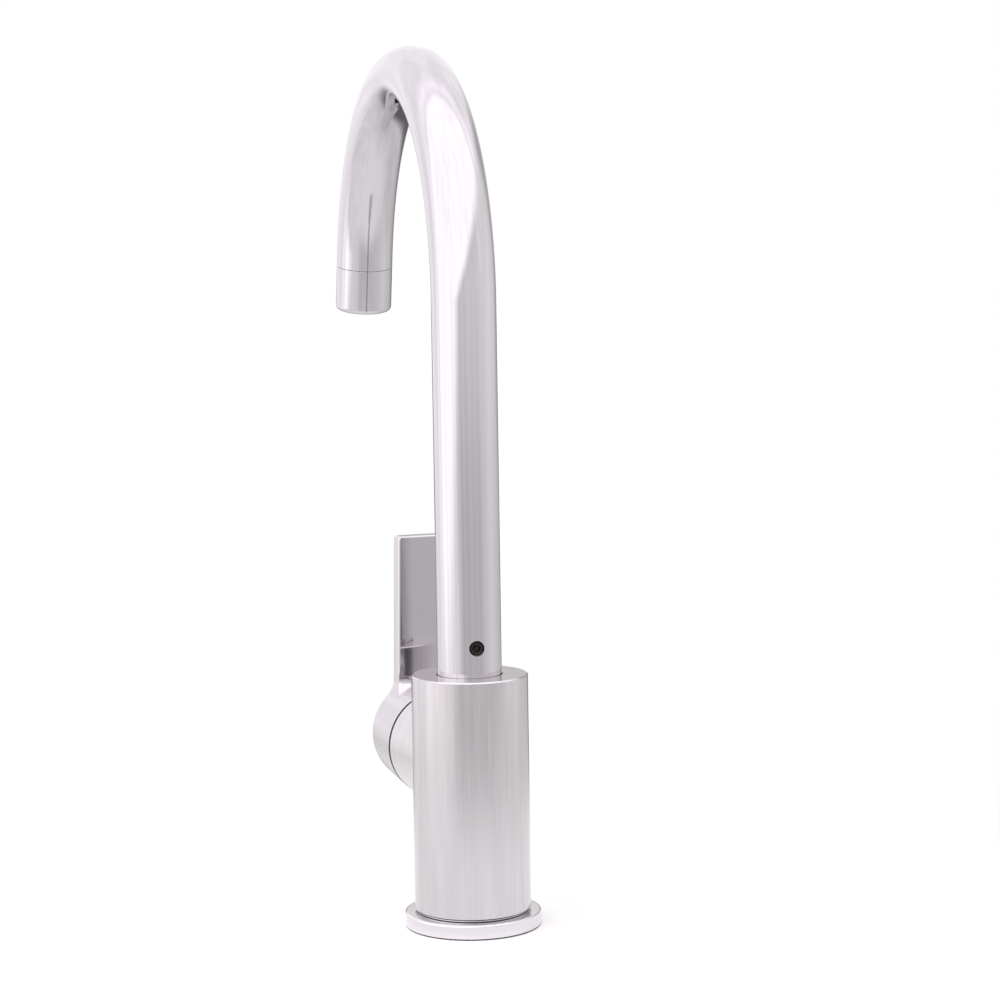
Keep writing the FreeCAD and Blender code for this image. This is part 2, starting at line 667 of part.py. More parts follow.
def build_spout_adapter():
    """The brass swivel that the tube is screwed to and that turns in the body's bore."""
    body = new_body("spout_adapter")
    bore = size.shaft_bore / 2
    neck = TUBE_BORE - size.slip
    lip_bottom = CLIP_FLOOR - size.clip_lip
    clip_top = CLIP_FLOOR + size.clip_height + 2 * size.face_gap
    bevel = size.edge_break
    corners = [
        (bore, SOCKET_FLOOR + size.face_gap),
        (NOSE_RADIUS, SOCKET_FLOOR + size.face_gap),
        (NOSE_RADIUS, lip_bottom),
        (SHAFT_RADIUS, lip_bottom),
        (SHAFT_RADIUS, CLIP_FLOOR - size.face_gap),
        (NOSE_RADIUS, CLIP_FLOOR - size.face_gap),
        (NOSE_RADIUS, clip_top),
        (SHAFT_RADIUS, clip_top),
    ]
    for height in SEAL_HEIGHTS:
        corners += [
            (SHAFT_RADIUS, height - size.seal_room / 2),
            (SEAL_GROOVE, height - size.seal_room / 2),
            (SEAL_GROOVE, height + size.seal_room / 2),
            (SHAFT_RADIUS, height + size.seal_room / 2),
        ]
    corners += [
        (SHAFT_RADIUS, TUBE_FOOT),
        (neck, TUBE_FOOT),
        (neck, ADAPTER_TOP - bevel),
        (neck - bevel, ADAPTER_TOP),
        (bore, ADAPTER_TOP),
    ]
    revolve(body, corners)
    hole = sketch_on(body, "XZ_Plane")
    circle(hole, SCREW_RADIUS, 0, SCREW_HEIGHT)
    add_feature(body, "Pocket", hole, Length=TUBE_RADIUS)


def build_swivel_seals():
    """The two O-rings in the adapter's grooves."""
    for label, height in zip(("lower_o_ring", "upper_o_ring"), SEAL_HEIGHTS):
        turned_seal(label, SEAL_GROOVE + size.slip, size.seal_section, height)


def build_spout_screw():
    """The headless screw at the back of the tube, with its hexagon socket outwards."""
    body = new_body("spout_grub_screw")
    face = TUBE_RADIUS - size.screw_recess
    shank = sketch_on(body, "XZ_Plane", -face)
    circle(shank, SCREW_RADIUS - size.slip, 0, SCREW_HEIGHT)
    add_feature(body, "Pad", shank, Length=size.screw_length)
    key = sketch_on(body, "XZ_Plane", -face)
    hexagon(key, size.screw_key, as_dim(0), SCREW_HEIGHT)
    add_feature(body, "Pocket", key, Length=size.screw_length / 2, Reversed=True)


# The outlet


def build_outlet():
    """The threaded insert, the collar and what it holds, along the outlet's axis."""
    bevel = size.edge_break
    tube_end = -size.tail_length
    thread = size.insert_thread / 2
    insert = ring_profile(thread, TUBE_BORE - size.slip, tube_end, -size.face_gap)
    place_on_tube_end(turned("outlet_insert", insert))
    throat = size.outlet_throat / 2
    top = size.collar_seam
    rim = size.collar_seam + size.collar_length
    spigot = thread - size.slip
    collar = turned(
        "aerator_collar",
        [
            (throat, tube_end),
            (spigot - bevel, tube_end),
            (spigot, tube_end + bevel),
            (spigot, top),
            (TUBE_RADIUS, top),
            (TUBE_RADIUS, rim - size.collar_round),
            (TUBE_RADIUS - size.collar_round, rim, size.collar_round, 1),
            (CHAMBER_RADIUS, rim),
            (CHAMBER_RADIUS, size.chamber_floor),
            (throat, size.chamber_floor),
        ],
    )
    place_on_tube_end(collar)
    washer_outer = CHAMBER_RADIUS - size.slip
    washer_inner = washer_outer - size.washer_width
    washer_top = size.chamber_floor + size.face_gap
    washer_end = washer_top + size.washer_height
    washer = ring_profile(washer_inner, washer_outer, washer_top, washer_end)
    place_on_tube_end(turned("aerator_washer", washer))
    build_aerator()
    build_screen(washer_inner - size.slip, washer_end)


def build_aerator():
    """The plastic flow former, with rings of holes in its face."""
    body = turned("aerator_core", ring_profile(0, CHAMBER_RADIUS - size.slip, AERATOR_TOP, AERATOR_END))
    place_on_tube_end(body)
    centre = sketch_on(body, "XY_Plane", AERATOR_END)
    circle(centre, size.aerator_cell / 2)
    add_feature(body, "Pocket", centre, Length=size.aerator_cell_depth)
    for ring in range(1, AERATOR_RINGS + 1):
        cell = sketch_on(body, "XY_Plane", AERATOR_END)
        circle(cell, size.aerator_cell / 2, ring * size.aerator_pitch, 0)
        hole = add_feature(body, "Pocket", cell, Length=size.aerator_cell_depth)
        pattern = body.newObject("PartDesign::PolarPattern", f"aerator_ring_{ring}")
        pattern.Originals = [hole]
        pattern.Axis = (centre, ["N_Axis"])
        pattern.Angle = FULL_TURN
        pattern.Occurrences = CELLS_PER_RING * ring
        body.Tip = pattern
        doc.recompute()


def build_screen(rim, bottom):
    """The domed inlet screen inside the washer."""
    rise = size.screen_rise
    dome = (rim * rim + rise * rise) / (2 * rise)
    wall = size.screen_wall
    body = turned(
        "aerator_screen",
        [
            (0, bottom - rise),
            (rim, bottom, dome, 1),
            (rim - wall, bottom),
            (0, bottom - rise + wall, dome, -1),
        ],
    )
    place_on_tube_end(body)


# The valve in the hub


def build_cartridge_base():
    """The plate with three water ports, ring seats below and two locating pins."""
    body = new_body("cartridge_base")
    place_on_hub(body)
    start = size.seat_distance + size.face_gap
    plate = sketch_on(body, "XY_Plane", start)
    circle(plate, CARTRIDGE_RADIUS - size.slip)
    add_feature(body, "Pad", plate, Length=size.base_height)
    pins = sketch_on(body, "XY_Plane", start)
    for side in (-1, 1):
        circle(pins, size.pin_diameter / 2, side * size.pin_radius, 0)
    add_feature(body, "Pad", pins, Length=size.pin_length, Reversed=True)
    seats = sketch_on(body, "XY_Plane", start)
    bores = sketch_on(body, "XY_Plane", start)
    for radius, x, y in port_places():
        circle(seats, radius + size.port_seal_width + 2 * size.slip, x, y)
        circle(bores, radius, x, y)
    add_feature(body, "Pocket", seats, Length=size.port_seal_height, Reversed=True)
    add_feature(body, "Pocket", bores, Length=size.base_height, Reversed=True)


def port_places():
    """Radius and centre of each water port, seen along the hub axis."""
    feed = size.feed_diameter / 2
    return [
        (size.outlet_diameter / 2, as_dim(0), as_dim(0)),
        (feed, INLET_X, INLET_Y),
        (feed, -INLET_X, INLET_Y),
    ]


def build_port_seals():
    """Three ring seals between the body and the cartridge base, as one node."""
    body = new_body("port_seals")
    body.AllowCompound = True
    place_on_hub(body)
    rings = sketch_on(body, "XY_Plane", size.seat_distance)
    for radius, x, y in port_places():
        circle(rings, radius + size.slip, x, y)
        circle(rings, radius + size.port_seal_width + size.slip, x, y)
    add_feature(body, "Pad", rings, Length=size.port_seal_height)


def build_fixed_disc():
    """The ceramic disc that stays still, with a hole for each port."""
    body = new_body("fixed_ceramic_disc")
    place_on_hub(body)
    disc = sketch_on(body, "XY_Plane", FIXED_DISC_START)
    circle(disc, size.disc_diameter / 2)
    for radius, x, y in port_places():
        circle(disc, radius, x, y)
    add_feature(body, "Pad", disc, Length=size.disc_height)


def polar(radius, angle):
    """A point at a radius and an angle."""
    return radius * cosine(angle), radius * sine(angle)


def build_moving_disc():
    """The ceramic disc that turns: a blind water chamber below and drive notches above."""
    body = new_body("moving_ceramic_disc")
    place_on_hub(body)
    edge = size.disc_diameter / 2
    disc = sketch_on(body, "XY_Plane", MOVING_DISC_START)
    circle(disc, edge)
    add_feature(body, "Pad", disc, Length=size.disc_height)
    # At rest the chamber ends just short of the first inlet, which it meets as the lever turns.
    last = 270 - size.inlet_half_angle - size.sector_margin
    first = last - size.sector_angle
    outer = size.inlet_radius + size.feed_diameter / 4
    chamber = sketch_on(body, "XY_Plane", MOVING_DISC_START)
    outline(chamber, [(0, 0), polar(outer, first), (*polar(outer, last), outer, 1)])
    add_feature(body, "Pocket", chamber, Length=size.sector_depth, Reversed=True)
    middle = sketch_on(body, "XY_Plane", MOVING_DISC_START)
    circle(middle, size.outlet_diameter / 2)
    add_feature(body, "Pocket", middle, Length=size.sector_depth, Reversed=True)
    notches = sketch_on(body, "XY_Plane", MOVING_DISC_START + size.disc_height)
    draw_tabs(notches, size.slip)
    add_feature(body, "Pocket", notches, Length=size.tab_depth + size.face_gap)


def draw_tabs(sketch, room):
    """The two drive tabs' outlines, grown by some room."""
    half = size.tab_width / 2 + room
    near = size.carrier_diameter / 4 - room
    far = size.carrier_diameter / 2 - size.tab_depth + room
    for side in (-1, 1):
        inner, outer = side * near, side * far
        outline(sketch, [(inner, -half), (outer, -half), (outer, half), (inner, half)])


def build_carrier():
    """The driver between stem and moving disc, with its stop lug and drive tabs."""
    body = new_body("disc_carrier")
    place_on_hub(body)
    height = CARRIER_ROOF - size.face_gap - CARRIER_START
    radius = size.carrier_diameter / 2
    plate = sketch_on(body, "XY_Plane", CARRIER_START)
    circle(plate, radius)
    add_feature(body, "Pad", plate, Length=height)
    lug = sketch_on(body, "XY_Plane", CARRIER_START)
    half = size.lug_angle / 2
    tip = radius + size.lug_height
    root_radius = radius - size.lug_height
    outline(
        lug,
        [
            polar(root_radius, 90 - half),
            polar(tip, 90 - half),
            (*polar(tip, 90 + half), tip, 1),
            polar(root_radius, 90 + half),
        ],
    )
    add_feature(body, "Pad", lug, Length=height)
    tabs = sketch_on(body, "XY_Plane", CARRIER_START)
    draw_tabs(tabs, as_dim(0))
    add_feature(body, "Pad", tabs, Length=size.tab_depth, Reversed=True)
    hole = sketch_on(body, "XY_Plane", CARRIER_START)
    square(hole, size.stem_foot + 2 * size.slip)
    add_feature(body, "Pocket", hole, Length=height, Reversed=True)


def build_cartridge_housing():
    """The cartridge's cup and neck, with the rib that stops the driver's lug at both ends."""
    body = new_body("cartridge_housing")
    place_on_hub(body)
    start = BASE_TOP + size.face_gap
    neck_end = SHOULDER + size.neck_length
    stem_bore = STEM_RADIUS + size.slip
    revolve(
        body,
        [
            (DISC_ROOM, start),
            (CARTRIDGE_RADIUS, start),
            (CARTRIDGE_RADIUS, SHOULDER),
            (NECK_RADIUS, SHOULDER),
            (NECK_RADIUS, neck_end),
            (stem_bore, neck_end),
            (stem_bore, CARRIER_ROOF),
            (DISC_ROOM, CARRIER_ROOF),
        ],
    )
    # The lug turns from 90 degrees to 90 + travel, so the rib fills the rest of the circle.
    rib = sketch_on(body, "XY_Plane", CARRIER_START)
    side = size.lug_angle / 2 + size.stop_play
    first = 90 + size.handle_travel + side
    last = 450 - side
    middle = (first + last) / 2
    inner = size.carrier_diameter / 2 + size.loose_gap
    outer = DISC_ROOM + size.lug_height / 4
    outline(
        rib,
        [
            polar(outer, first),
            (*polar(outer, middle), outer, 1),
            (*polar(outer, last), outer, 1),
            polar(inner, last),
            (*polar(inner, middle), inner, -1),
            (*polar(inner, first), inner, -1),
        ],
    )
    add_feature(body, "Pad", rib, Length=CARRIER_ROOF + size.cartridge_top / 2 - CARRIER_START)


def build_nut():
    """The slotted ring nut that holds the cartridge in the hub."""
    body = new_body("cartridge_nut")
    place_on_hub(body)
    face = size.hub_reach
    end = face + size.nut_face
    collar = NUT_RADIUS - size.nut_face
    inner = NECK_RADIUS + size.loose_gap
    revolve(
        body,
        [
            (inner, NUT_START),
            (NUT_RADIUS, NUT_START),
            (NUT_RADIUS, face),
            (collar, face),
            (collar, end),
            (inner, end),
        ],
    )
    half = size.nut_slot / 2
    reach = size.hub_diameter
    for long_x, long_y in ((reach, half), (half, reach)):
        slot = sketch_on(body, "XY_Plane", face)
        outline(slot, [(long_x, -long_y), (long_x, long_y), (-long_x, long_y), (-long_x, -long_y)])
        add_feature(body, "Pocket", slot, Length=size.nut_face, Reversed=True)


def build_hub_ring():
    """The dark glide ring that shows in the groove between hub and lever cap."""
    inner = size.nut_bore_thread / 2 + size.slip
    outer = HUB_RADIUS - size.edge_break
    start = size.hub_reach + size.face_gap
    end = CAP_START - size.face_gap
    place_on_hub(turned("hub_glide_ring", ring_profile(inner, outer, start, end)))


def build_stem():
    """The stem: square foot in the driver, round neck with its seal, square end in the lever."""
    body = new_body("cartridge_stem")
    place_on_hub(body)
    foot = sketch_on(body, "XY_Plane", CARRIER_START + size.face_gap)
    square(foot, size.stem_foot)
    foot_end = CARRIER_ROOF - size.face_gap
    add_feature(body, "Pad", foot, Length=foot_end - CARRIER_START - size.face_gap)
    shaft_end = SHOULDER + size.neck_length + size.stem_seat
    groove = STEM_RADIUS - size.stem_seal_section + size.slip
    seal_low = stem_seal_height() - size.stem_seal_section / 2 - 2 * size.slip
    seal_high = stem_seal_height() + size.stem_seal_section / 2 + 2 * size.slip
    revolve(
        body,
        [
            (0, foot_end),
            (STEM_RADIUS, foot_end),
            (STEM_RADIUS, seal_low),
            (groove, seal_low),
            (groove, seal_high),
            (STEM_RADIUS, seal_high),
            (STEM_RADIUS, shaft_end),
            (0, shaft_end),
        ],
    )
    end = sketch_on(body, "XY_Plane", shaft_end)
    square(end, size.stem_square)
    add_feature(body, "Pad", end, Length=STEM_END - shaft_end)
    seal = turned_seal("stem_o_ring", groove, size.stem_seal_section, stem_seal_height())
    place_on_hub(seal)


def stem_seal_height():
    """Where the stem's O-ring lies, half way along the cartridge's neck."""
    return SHOULDER + size.neck_length / 2


# The lever


def build_lever():
    """The cap over the nut and the flat blade that rises from its outer end."""
    body = new_body("lever_handle")
    place_on_hub(body)
    add_blade(body)
    cap = sketch_on(body, "XY_Plane", CAP_START)
    circle(cap, HUB_RADIUS)
    add_feature(body, "Pad", cap, Length=size.cap_length)
    round_blade(body)
    hollow_cap(body)


def add_blade(body):
    """The blade's outline, then its inner face and hollow corner, turned about the hub axis."""
    half = size.blade_width / 2
    flare = size.blade_flare
    lean_across, lean_up = cosine(size.blade_taper), sine(size.blade_taper)
    # Each flare's circle touches the hub's circle and the leaning side of the blade.
    reach = HUB_RADIUS + flare
    from_side = half * lean_across + size.blade_top * lean_up + flare
    along_side = root(reach * reach - from_side * from_side)
    centre_x = from_side * lean_across - along_side * lean_up
    centre_y = from_side * lean_up + along_side * lean_across
    hub_x, hub_y = (value * HUB_RADIUS / reach for value in (centre_x, centre_y))
    side_x, side_y = centre_x - flare * lean_across, centre_y - flare * lean_up
    start = BLADE_INNER - size.root_round
    blade = sketch_on(body, "XY_Plane", start)
    outline(
        blade,
        [
            (hub_x, hub_y),
            (side_x, side_y, flare, -1),
            (half, size.blade_top),
            (-half, size.blade_top),
            (-side_x, side_y),
            (-hub_x, hub_y, flare, -1),
        ],
    )
    add_feature(body, "Pad", blade, Length=CAP_END - start)
    beyond = size.blade_top + size.blade_width
    revolve(
        body,
        [
            (beyond, start),
            (beyond, BLADE_INNER),
            (HUB_RADIUS + size.root_round, BLADE_INNER),
            (HUB_RADIUS, start, size.root_round, 1),
        ],
        "Groove",
    )


def round_blade(body):
    """Rounds the lever's outer edges and the blade's top edges."""
    def outer_or_top_edge(point):
        on_end = point.z > CAP_END.value - size.blade_thickness.value / 4
        on_top = point.y > size.blade_top.value - size.handle_round.value
        return on_end or on_top

    round_edges(body, size.handle_round, outer_or_top_edge)


def hollow_cap(body):
    """The cavity over the nut, the boss with its square bore and the grub screw's hole."""
    boss = size.boss_diameter / 2
    boss_end = CAP_START + size.boss_setback
    revolve(
        body,
        [
            (0, CAP_START),
            (CAVITY_RADIUS, CAP_START),
            (CAVITY_RADIUS, CAVITY_END),
            (boss, CAVITY_END),
            (boss, boss_end),
            (0, boss_end),
        ],
        "Groove",
    )
    bore = sketch_on(body, "XY_Plane", boss_end)
    square(bore, size.stem_square + 2 * size.slip)
    add_feature(body, "Pocket", bore, Length=STEM_END + size.face_gap - boss_end, Reversed=True)
    hole = sketch_on(body, "XZ_Plane")
    circle(hole, LEVER_SCREW_RADIUS, 0, LEVER_SCREW_Z)
    add_feature(body, "Pocket", hole, Length=size.hub_diameter, Reversed=True)


def build_lever_screw():
    """The headless screw under the cap that holds the lever on its stem."""
    body = new_body("lever_grub_screw")
    place_on_hub(body)
    near = size.stem_square / 2 + size.face_gap
    far = near + size.lever_screw_length
    shank = sketch_on(body, "XZ_Plane", near)
    circle(shank, LEVER_SCREW_RADIUS - size.slip, 0, LEVER_SCREW_Z)
    add_feature(body, "Pad", shank, Length=size.lever_screw_length)
    key = sketch_on(body, "XZ_Plane", far)
    hexagon(key, size.lever_screw_key, as_dim(0), LEVER_SCREW_Z)
    add_feature(body, "Pocket", key, Length=size.lever_screw_length / 2)


def check_pieces():
    """Stops before anything is written if an object failed or a shape is bad."""
    for item in doc.Objects:
        if "Invalid" in item.State or "Error" in item.State:
            raise RuntimeError(f"{item.Name} failed: {item.State}")
    for body in pieces:
        if body.Shape.isNull() or not body.Shape.isValid():
            raise RuntimeError(f"{body.Label} has no valid shape")


def write_pieces():
    """Writes each sub-part to parts/LABEL.step."""
    os.makedirs("parts", exist_ok=True)
    for body in pieces:
        body.Shape.exportStep(os.path.join("parts", f"{body.Label}.step"))
        print(f"{body.Label}: {len(body.Shape.Solids)} solid, {body.Shape.Volume:.0f} mm3")


build_base()
build_body_casting()
build_swivel_rings()
build_spout_tube()
build_spout_adapter()
build_swivel_seals()
build_spout_screw()
build_outlet()
build_cartridge_base()
build_port_seals()
build_fixed_disc()
build_moving_disc()
build_carrier()
build_cartridge_housing()
build_nut()
build_hub_ring()
build_stem()
build_lever()
build_lever_screw()
doc.recompute()
check_pieces()
write_pieces()
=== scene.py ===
"""Looks of the gooseneck bar faucet: fine meshes, finishes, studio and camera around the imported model.

Lengths are metres and angles are radians unless a name says otherwise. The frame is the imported
model's own: +Z up, origin on the deck under the body, spout towards -Y at rest.
"""

import logging
import math
from collections.abc import Callable, Iterable
from dataclasses import dataclass, field
from enum import Enum

import bmesh
import bpy
from mathutils import Matrix, Vector


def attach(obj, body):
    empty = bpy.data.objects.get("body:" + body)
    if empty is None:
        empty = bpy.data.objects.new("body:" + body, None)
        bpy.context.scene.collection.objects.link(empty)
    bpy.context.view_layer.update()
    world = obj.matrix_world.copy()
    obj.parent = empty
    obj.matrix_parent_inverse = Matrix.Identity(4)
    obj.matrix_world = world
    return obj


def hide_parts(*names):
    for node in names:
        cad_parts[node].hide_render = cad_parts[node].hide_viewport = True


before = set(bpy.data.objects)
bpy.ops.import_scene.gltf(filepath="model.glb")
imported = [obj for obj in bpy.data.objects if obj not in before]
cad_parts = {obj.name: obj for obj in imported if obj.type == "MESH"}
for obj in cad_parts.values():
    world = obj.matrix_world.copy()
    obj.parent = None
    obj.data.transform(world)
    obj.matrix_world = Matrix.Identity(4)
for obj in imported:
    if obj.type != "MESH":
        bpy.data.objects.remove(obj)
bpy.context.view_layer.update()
LOG = logging.getLogger("faucet")
MM = 0.001
UP = Vector((0.0, 0.0, 1.0))


class Slot(Enum):
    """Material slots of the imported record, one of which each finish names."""

    CHROME = "chrome"
    BRASS = "bare_brass"
    RUBBER = "black_rubber"
    WHITE_ACETAL = "white_acetal"
    BLACK_ACETAL = "black_acetal"
    CARTRIDGE = "cartridge_plastic"
    CERAMIC = "ceramic"
    MESH = "steel_mesh"
    BLACK_STEEL = "black_oxide_steel"


class Body(Enum):
    """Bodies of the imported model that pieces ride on."""

    FIXED = "body"
    SPOUT = "spout"
    HANDLE = "handle"


# Shader maths


class Signal:
    """A number socket of a shader, on which Python's operators add Math nodes."""

    def __init__(self, tree: bpy.types.NodeTree, socket: bpy.types.NodeSocket) -> None:
        """Wraps a socket.

        Args:
            tree: The node tree that the socket is in.
            socket: The output to wrap.
        """
        self.tree = tree
        self.socket = socket

    def maths(self, operation: str, *others: "Signal | float", flip: bool = False) -> "Signal":
        """Adds one Math node.

        Args:
            operation: The Math node's operation.
            others: The other operands, as signals or plain numbers.
            flip: Whether this signal is the second operand.

        Returns:
            The node's result.
        """
        node = self.tree.nodes.new("ShaderNodeMath")
        node.operation = operation
        operands = [*others, self] if flip else [self, *others]
        for place, operand in zip(node.inputs, operands):
            if isinstance(operand, Signal):
                self.tree.links.new(operand.socket, place)
            else:
                place.default_value = operand
        return Signal(self.tree, node.outputs[0])

    def __add__(self, other: "Signal | float") -> "Signal":
        """Sum."""
        return self.maths("ADD", other)

    __radd__ = __add__

    def __sub__(self, other: "Signal | float") -> "Signal":
        """Difference."""
        return self.maths("SUBTRACT", other)

    def __rsub__(self, other: "Signal | float") -> "Signal":
        """Difference from a number."""
        return self.maths("SUBTRACT", other, flip=True)

    def __mul__(self, other: "Signal | float") -> "Signal":
        """Product."""
        return self.maths("MULTIPLY", other)

    __rmul__ = __mul__

    def __truediv__(self, other: "Signal | float") -> "Signal":
        """Quotient."""
        return self.maths("DIVIDE", other)

    def hump(self, middle: float, half_width: float) -> "Signal":
        """A soft bump that is 1 at the middle and falls to 0.37 at half_width from it."""
        reach = (self - middle) / half_width
        return (reach * reach * -1.0).maths("EXPONENT")

    def step(self, low: float, high: float) -> "Signal":
        """Smooth step from 0 at low to 1 at high."""
        node = self.tree.nodes.new("ShaderNodeMapRange")
        node.interpolation_type = "SMOOTHSTEP"
        self.tree.links.new(self.socket, node.inputs["Value"])
        node.inputs["From Min"].default_value = low
        node.inputs["From Max"].default_value = high
        return Signal(self.tree, node.outputs["Result"])


class Shader:
    """One material or world under construction."""

    def __init__(self, tree: bpy.types.NodeTree) -> None:
        """Empties the tree.

        Args:
            tree: The node tree of a material or world.
        """
        self.tree = tree
        tree.nodes.clear()

    def node(self, kind: str, settings: dict | None = None, **sockets: object) -> bpy.types.Node:
        """Adds any node.

        Args:
            kind: The node's type.
            settings: Its properties, which are set first.
            sockets: Values or links of its inputs, with underscores for the blanks in their names.

        Returns:
            The node.
        """
        node = self.tree.nodes.new(kind)
        for name, value in (settings or {}).items():
            setattr(node, name, value)
        for name, value in sockets.items():
            place = node.inputs[name.replace("_", " ")]
            if isinstance(value, Signal):
                value = value.socket
            if isinstance(value, bpy.types.NodeSocket):
                self.tree.links.new(value, place)
            else:
                place.default_value = value
        return node

    def signal(self, node: bpy.types.Node, output: str = "Fac") -> Signal:
        """One of a node's outputs as a signal."""
        return Signal(self.tree, node.outputs[output])

    def place(self) -> bpy.types.NodeSocket:
        """Object coordinates, in metres in the model's frame."""
        return self.node("ShaderNodeTexCoord").outputs["Object"]

    def stretched(self, scale: tuple[float, float, float]) -> bpy.types.NodeSocket:
        """Object coordinates scaled along each axis."""
        return self.node("ShaderNodeMapping", Vector=self.place(), Scale=scale).outputs["Vector"]

    def noise(self, scale: float, detail: float = 3.0, vector: object = None) -> Signal:
        """A noise signal around one half.

        Args:
            scale: Grains per metre.
            detail: Octaves.
            vector: Coordinates, or None for plain Object coordinates.

        Returns:
            The noise.
        """
        where = vector if vector is not None else self.place()
        node = self.node("ShaderNodeTexNoise", Vector=where, Scale=scale, Detail=detail)
        return self.signal(node)

    def mix(self, factor: Signal | float, first: tuple, second: tuple) -> bpy.types.NodeSocket:
        """A blend of two colours.

        Args:
            factor: 0 for the first colour, 1 for the second.
            first: Red, green and blue.
            second: Red, green and blue.

        Returns:
            The blended colour.
        """
        node = self.tree.nodes.new("ShaderNodeMix")
        node.data_type = "RGBA"
        inputs = [s for s in node.inputs if s.enabled]
        for place, value in zip(inputs, (factor, first, second)):
            if isinstance(value, Signal):
                self.tree.links.new(value.socket, place)
            elif isinstance(value, bpy.types.NodeSocket):
                self.tree.links.new(value, place)
            elif place.type == "RGBA":
                place.default_value = (*value, 1.0)
            else:
                place.default_value = value
        return next(s for s in node.outputs if s.enabled)

    def bump(self, height: Signal, depth: float) -> bpy.types.NodeSocket:
        """A bump of the given depth in metres."""
        node = self.node("ShaderNodeBump", Strength=1.0, Distance=depth, Height=height)
        return node.outputs["Normal"]


@dataclass(frozen=True)
class Finish:
    """A finish of one slot: its colour, roughness and what varies over it."""

    name: str
    slot: Slot
    colour: tuple[float, float, float]
    roughness: float
    metallic: float = 0.0

    def surface(self, shader: Shader) -> bpy.types.Node:
        """Adds the principled shader with the plain values and links it to the output.

        Args:
            shader: The material under construction.

        Returns:
            The principled node.
        """
        principled = shader.node(
            "ShaderNodeBsdfPrincipled",
            Base_Color=(*self.colour, 1.0),
            Roughness=self.roughness,
            Metallic=self.metallic,
        )
        shader.node("ShaderNodeOutputMaterial", Surface=principled.outputs["BSDF"])
        return principled

    def dress(self, shader: Shader, principled: bpy.types.Node) -> None:
        """Adds what varies over the surface; the plain finish has a faint cloudiness."""
        cloud = shader.noise(90.0)
        hazed = self.roughness + 0.06 * (cloud - 0.5)
        shader.tree.links.new(hazed.socket, principled.inputs["Roughness"])

    def material(self) -> bpy.types.Material:
        """The finish's material, made once."""
        found = bpy.data.materials.get(self.name)
        if found:
            return found
        made = bpy.data.materials.new(self.name)
        made.use_nodes = True
        shader = Shader(made.node_tree)
        self.dress(shader, self.surface(shader))
        return made


@dataclass(frozen=True)
class PolishedChrome(Finish):
    """Bright chrome plate with the slight waves that polishing leaves."""

    wave_depth: float = 0.00004
    streak_depth: float = 0.0

    def dress(self, shader: Shader, principled: bpy.types.Node) -> None:
        """Polishing waves, a faint haze and fine streaks along the upright."""
        wipe = shader.noise(34.0, 2.0)
        haze = shader.noise(900.0, 2.0, shader.stretched((1.0, 1.0, 0.06)))
        link = shader.tree.links.new
        link((self.roughness * (0.7 + 0.6 * wipe) + 0.02 * haze).socket, principled.inputs["Roughness"])
        deeper = tuple(c * 0.955 for c in self.colour)
        link(shader.mix(shader.noise(22.0, 2.0), deeper, self.colour), principled.inputs["Base Color"])
        height = shader.noise(60.0, 1.0) * self.wave_depth + haze * self.streak_depth
        link(shader.bump(height, 1.0), principled.inputs["Normal"])


@dataclass(frozen=True)
class BuffedChrome(PolishedChrome):
    """Chrome over a buffed casting: upright streaks, and painted shade on the recessed step at its foot.
    """

    # Heights of the recessed step at the foot, which is painted near-black as shade.
    shade_step_low: float = 5.6 * MM
    shade_step_high: float = 6.0 * MM

    def dress(self, shader: Shader, principled: bpy.types.Node) -> None:
        """Streaks in roughness and colour, soft ripples in the bump, and painted shade on the step,
        which is also rougher.
        """
        link = shader.tree.links.new
        fine = shader.noise(1500.0, 3.0, shader.stretched((1.0, 1.0, 0.02)))
        broad = shader.noise(210.0, 3.0, shader.stretched((1.0, 1.0, 0.09)))
        split = shader.node("ShaderNodeSeparateXYZ", Vector=shader.place())
        height = shader.signal(split, "Z")
        # Mask of the step that gets the painted shade.
        step = height.step(self.shade_step_low, self.shade_step_low + 0.05 * MM)
        step = step * (1.0 - height.step(self.shade_step_high, self.shade_step_high + 0.05 * MM))
        deeper = tuple(c * 0.90 for c in self.colour)
        streaked = shader.mix((broad * 0.6 + fine * 0.4).step(0.3, 0.7), deeper, self.colour)
        # Painted shade: a near-black colour on the step in place of the chrome.
        link(shader.mix(step, streaked, (0.08, 0.085, 0.1)), principled.inputs["Base Color"])
        dull = self.roughness * (0.55 + 0.9 * broad) + 0.05 * fine + 0.3 * step
        link(dull.socket, principled.inputs["Roughness"])
        ripple = shader.noise(60.0, 1.0) * self.wave_depth + fine * self.streak_depth
        link(shader.bump(ripple, 1.0), principled.inputs["Normal"])


@dataclass(frozen=True)
class MachinedBrass(Finish):
    """Bare brass, turned, with fine tool rings and a darker bloom."""

    def dress(self, shader: Shader, principled: bpy.types.Node) -> None:
        """Bloom in the colour and tool marks in the bump."""
        link = shader.tree.links.new
        bloom = shader.noise(140.0, 4.0)
        dull = tuple(c * f for c, f in zip(self.colour, (0.72, 0.66, 0.6)))
        link(shader.mix(bloom, dull, self.colour), principled.inputs["Base Color"])
        marks = shader.noise(2400.0, 1.0, shader.stretched((0.15, 0.15, 1.0)))
        link((self.roughness + 0.16 * (marks - 0.5)).socket, principled.inputs["Roughness"])
        link(shader.bump(marks, 0.000015), principled.inputs["Normal"])


@dataclass(frozen=True)
class Elastomer(Finish):
    """Moulded rubber with a dusty bloom and a fine grain."""

    def dress(self, shader: Shader, principled: bpy.types.Node) -> None:
        """Dust in the colour and grain in the bump."""
        link = shader.tree.links.new
        dust = shader.noise(260.0, 4.0).step(0.5, 0.85)
        pale = tuple(c + 0.05 for c in self.colour)
        link(shader.mix(dust, self.colour, pale), principled.inputs["Base Color"])
        grain = shader.noise(3500.0, 1.0)
        link((self.roughness + 0.2 * (dust - 0.4)).socket, principled.inputs["Roughness"])
        link(shader.bump(grain, 0.00002), principled.inputs["Normal"])


